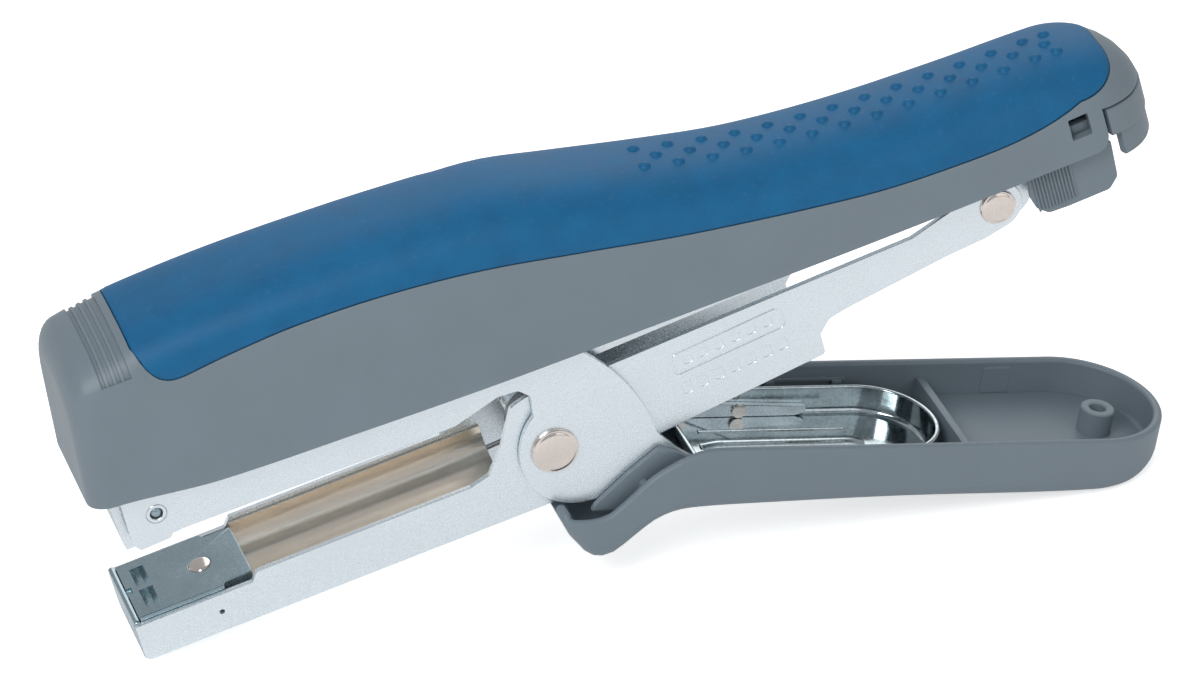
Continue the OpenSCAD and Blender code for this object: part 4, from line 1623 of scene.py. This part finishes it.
@dataclass
class Magazine:
    """The magazine channel with its staples and springs."""

    bench: Bench
    crown_v: float = 3.8
    staple_leg: float = 9.5
    wire_t: float = 0.6
    staple_count: int = 86
    staple_first: float = -4.0
    staple_pitch: float = 0.604
    lift_u: float = 30.0
    lift_r: float = 3.4

    def build(self) -> None:
        """Places every piece of the magazine."""
        for node, look, edge in (("magazine_channel", Look.PLATED, 0.15),
                                 ("core_rail", Look.PLATED, 0.08),
                                 ("nose_block", Look.ANVIL, 0.1),
                                 ("rear_bracket", Look.PLATED, 0.1),
                                 ("spring_seat", Look.PLATED, 0.1),
                                 ("hinge_studs", Look.RIVET, 0.1)):
            self.bench.keep(node, look, edge)
        self._staples()
        self._lift_spring()

    def _staples(self) -> None:
        """Places the stick of staples, wire by wire."""
        crown, leg, wire = self.crown_v, self.staple_leg, self.wire_t
        half = SZ.staple_half
        draft = Draft()
        for k in range(self.staple_count):
            u = self.staple_first + k * self.staple_pitch
            loop = rounded([(-half, crown - leg, 0), (-half, crown, 0.7), (half, crown, 0.7),
                            (half, crown - leg, 0),
                            (half - wire, crown - leg, 0), (half - wire, crown - wire, 0.3),
                            (-half + wire, crown - wire, 0.3),
                            (-half + wire, crown - leg, 0)], 3)
            draft.add(prism(loop, u, u + 0.58, 0.12, Axis.U))
        self.bench.place("staples", draft, TOP, Look.STAPLE, Body.MAGAZINE, ["staple_strip"])

    def _lift_spring(self) -> None:
        """Places the spring under the handle's roof."""
        path = []
        r, turns, steps, seat, height = self.lift_r, 5.5, 160, 5.45, 9.9
        for k in range(steps + 1):
            a = 2 * math.pi * turns * k / steps
            rise = seat + height * max(0.0, min(1.0, (k - 18) / 124))
            path.append((self.lift_u + r * math.cos(a), r * math.sin(a), rise))
        obj = self.bench.place(
            "roof_spring", tube(path, 0.3, 10), TOP, Look.SPRING, Body.MAGAZINE, ["lift_spring"],
            sharp=60
        )
        TOP.at(self.lift_u, 0, 5.1)
        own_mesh(obj)


@dataclass
class Drawer:
    """The rear-loading drawer with its cap, rod, spring, pusher and pads."""

    bench: Bench
    rib_count: int = 12
    rib_first: float = 175.3
    rib_pitch: float = 0.68
    rib_width: float = 0.38
    spring_turns: int = 60

    def build(self) -> None:
        """Places every piece of the drawer."""
        self._cap()
        self._spring()
        self.bench.keep("pusher_rod", Look.ROD, 0.1)
        self.bench.keep("pusher", Look.NYLON, 0.2)
        self._pad(-1, "left", Body.LEFT_PAD)
        self._pad(1, "right", Body.RIGHT_PAD)

    def _wall(self, start: float, out: float, thick: float, low: float, high: float) -> Draft:
        """A wall that follows the handle's round rear end between two level planes.

        Args:
            start: where it begins along the magazine.
            out: how far its face lies inside the handle's outline.
            thick: its thickness.
            low: lower plane, above the pivot rivet.
            high: upper plane.

        Returns:
            The wall.
        """
        r = SZ.cover_half - out
        c = SZ.end_u - SZ.cover_half
        path = [(start + (c - start) * i / 4, -r, 0.0, -1.0) for i in range(4)] if start < c else []
        first = -90.0 if start < c else -math.degrees(math.acos((start - c) / r))
        for i in range(41):
            a = math.radians(first - 2 * first * i / 40)
            path.append((c + r * math.cos(a), r * math.sin(a), math.cos(a), math.sin(a)))
        if start < c:
            path += [(c + (start - c) * (i + 1) / 4, r, 0.0, 1.0) for i in range(4)]
        rows = []
        for u, y, nu, ny in path:
            section = []
            for back, up, lift in ((0.35, 0, 0), (0.1, 0, 0.1), (0, 0, 0.4), (0, 1, -0.4),
                                   (0.1, 1, -0.1), (0.35, 1, 0),
                                   (thick - 0.3, 1, 0), (thick, 1, -0.3), (thick, 0, 0.3),
                                   (thick - 0.3, 0, 0)):
                pu = u - nu * back
                section.append((pu, y - ny * back, level_height(pu, high if up else low) + lift))
            rows.append(section)
        return grid(rows, wrap=True, ends=True)

    def _cap(self) -> None:
        """Places the rear cap with its step and its lobe."""
        band = self._wall(192.25, 0.0, 1.8, 45.9, 51.75)
        lobe = self._wall(194.2, 0.35, 1.6, 40.7, 46.3)
        stand = block((193.7, 196), (-4, 4), (-3.0, 0.8),
                      0.2).add(block((193.7, 200.6), (-4, 4), (-3.4, -2.2), 0.2))
        arms = block((179.2, 197.4), (9.45, 10.45), (-3.9, 0.3), 0.15).both()
        self.bench.place("drawer_cap", band.add(lobe, stand, arms), TOP, Look.SHELL, Body.DRAWER,
                         ["end_cap"], sharp=40)

    def _spring(self) -> None:
        """Places the pusher's long spring."""
        path: list[Point] = []
        first, last, r, around = 60.4, 193.0, 1.05, 14
        steps = self.spring_turns * around
        for k in range(steps + 1):
            a = 2 * math.pi * k / around
            path.append((first + (last - first) * k / steps, r * math.cos(a), -1 + r * math.sin(a)))
        obj = self.bench.place(
            "feed_spring", tube(path, 0.25, 6), TOP, Look.SPRING, Body.DRAWER, ["pusher_spring"],
            sharp=60
        )
        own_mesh(obj)

    def _pad(self, side: int, name: str, body: Body) -> None:
        """Places a ribbed release pad.

        Args:
            side: -1 for the left and 1 for the right.
            name: which pad.
            body: the CAD body it rides on.
        """
        outline = rounded([(174.8, -4.6, 0.5), (174.2, -9.6, 0.6), (175.0, -12.6, 1.6),
                           (177.0, -14.6, 1.6), (181, -14.9, 0.8),
                           (189.6, -14.9, 1.5), (191.7, -12.8, 1.5), (192.1, -4.7, 0.6)])
        pad = prism(outline, SZ.pad_in, SZ.pad_out - 0.4, 0.25)
        pad.add(block((184, 188.5), (SZ.pad_in, SZ.pad_out - 0.05), (-5, 2.2), 0.15))
        pad.add(block((185.2, 187.8), (SZ.pad_out - 0.5, SZ.pad_out + 0.08), (0.4, 2.1), 0.15))
        for k in range(self.rib_count):
            u = self.rib_first + self.rib_pitch * k
            pad.add(block((u, u + self.rib_width), (SZ.pad_out - 0.7, SZ.pad_out - 0.02),
                          (-13.6 + 0.04 * abs(6 - k), -5.2), 0.14))
        draft = pad if side > 0 else pad.mirrored()
        self.bench.place(f"{name}_ribbed_pad", draft, TOP, Look.SHELL, body,
                         [f"{name}_release_pad"])


# ---- studio --------------------------------------------------------------------------------


class Studio:
    """Floor, lights, sky and camera. The camera's distance and shifts are in mm."""

    distance = 1214.95
    shift_right = 6.411
    shift_up = 20.168
    view_scale = 6500 / 1181
    sensor = 36.0

    def build(self) -> None:
        """Sets the whole studio up."""
        self._floor()
        self._sky()
        self._lights()
        self._camera()
        bpy.context.scene.view_settings.view_transform = "Standard"

    def _floor(self) -> None:
        """A pale sheet that curves up behind the stapler."""
        rows = []
        for k in range(41):
            y = -1.6 + 0.1 * k
            z = -0.0002 + (0.0 if y < 1.4 else 0.9 * (y - 1.4) ** 2)
            rows.append([(x, y, z) for x in (-3.0, -1.0, 1.0, 3.0)])
        draft = grid(rows)
        mesh = bpy.data.meshes.new("paper")
        mesh.from_pydata(draft.points, [], draft.faces)
        floor = bpy.data.objects.new("paper", mesh)
        bpy.context.scene.collection.objects.link(floor)
        material = bpy.data.materials.new("paper")
        material.use_nodes = True
        shader = material.node_tree.nodes["Principled BSDF"]
        shader.inputs["Base Color"].default_value = (0.9, 0.9, 0.9, 1)
        shader.inputs["Roughness"].default_value = 0.9
        shader.inputs["Emission Color"].default_value = (1, 1, 1, 1)
        n, link = material.node_tree.nodes, material.node_tree.links
        rays = n.new("ShaderNodeLightPath")
        glow = n.new("ShaderNodeMapRange")
        glow.inputs["To Min"].default_value = 0.12
        glow.inputs["To Max"].default_value = 0.62
        link.new(rays.outputs["Is Camera Ray"], glow.inputs["Value"])
        link.new(glow.outputs[0], shader.inputs["Emission Strength"])
        mesh.materials.append(material)

    def _sky(self) -> None:
        """A pale even sky."""
        world = bpy.data.worlds.new("sky")
        world.use_nodes = True
        world.node_tree.nodes["Background"].inputs["Color"].default_value = (0.95, 0.97, 1.0, 1)
        world.node_tree.nodes["Background"].inputs["Strength"].default_value = 0.48
        bpy.context.scene.world = world

    def _lights(self) -> None:
        """Three soft lights."""
        for name, place, size, power in (("key", (-0.45, -0.5, 0.75), 0.45, 4.4),
                                         ("fill", (0.6, -0.9, 0.5), 0.8, 1.2),
                                         ("rim", (0.3, 0.8, 0.6), 0.7, 2.2)):
            light = bpy.data.lights.new(name, "AREA")
            light.size = size
            light.energy = power
            lamp = bpy.data.objects.new(name, light)
            lamp.location = place
            lamp.rotation_mode = "QUATERNION"
            towards = Vector((0, 0, 0.04)) - Vector(place)
            lamp.rotation_quaternion = towards.to_track_quat("-Z", "Y")
            bpy.context.scene.collection.objects.link(lamp)

    def _camera(self) -> None:
        """A long lens from the left of the nose, above the stapler."""
        azimuth, rise = math.radians(-18), math.radians(31)
        back = Vector((math.sin(azimuth) * math.cos(rise), -math.cos(azimuth) * math.cos(rise),
                       math.sin(rise)))
        right = Vector((math.cos(azimuth), math.sin(azimuth), 0))
        up = back.cross(right)
        place = Vector((0, -13,
                        0)) + back * self.distance + right * self.shift_right + up * self.shift_up
        level = Matrix.Rotation(math.radians(1.07), 3, "Y")
        back, right, up, place = (level @ p for p in (back, right, up, place))
        place += Vector((STAND.x, 0, STAND.z))
        data = bpy.data.cameras.new("camera")
        data.sensor_width = self.sensor
        data.lens = self.view_scale * self.sensor
        data.clip_start = 0.05
        data.clip_end = 20
        camera = bpy.data.objects.new("camera", data)
        turn = Matrix((right, up, back)).transposed().to_4x4()
        camera.matrix_world = Matrix.Translation(place * MM) @ turn
        bpy.context.scene.collection.objects.link(camera)
        bpy.context.scene.camera = camera


def main() -> None:
    """Builds the whole scene."""
    logging.basicConfig(level=logging.INFO, format="%(name)s: %(message)s")
    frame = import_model()
    bench = Bench(frame["nodes"])
    for builder in (UpperHandle(bench), LowerHandle(bench), AnvilLever(bench), Magazine(bench),
                    Drawer(bench)):
        builder.build()
    Studio().build()
    bpy.context.view_layer.update()


if __name__ == "__main__":
    main()
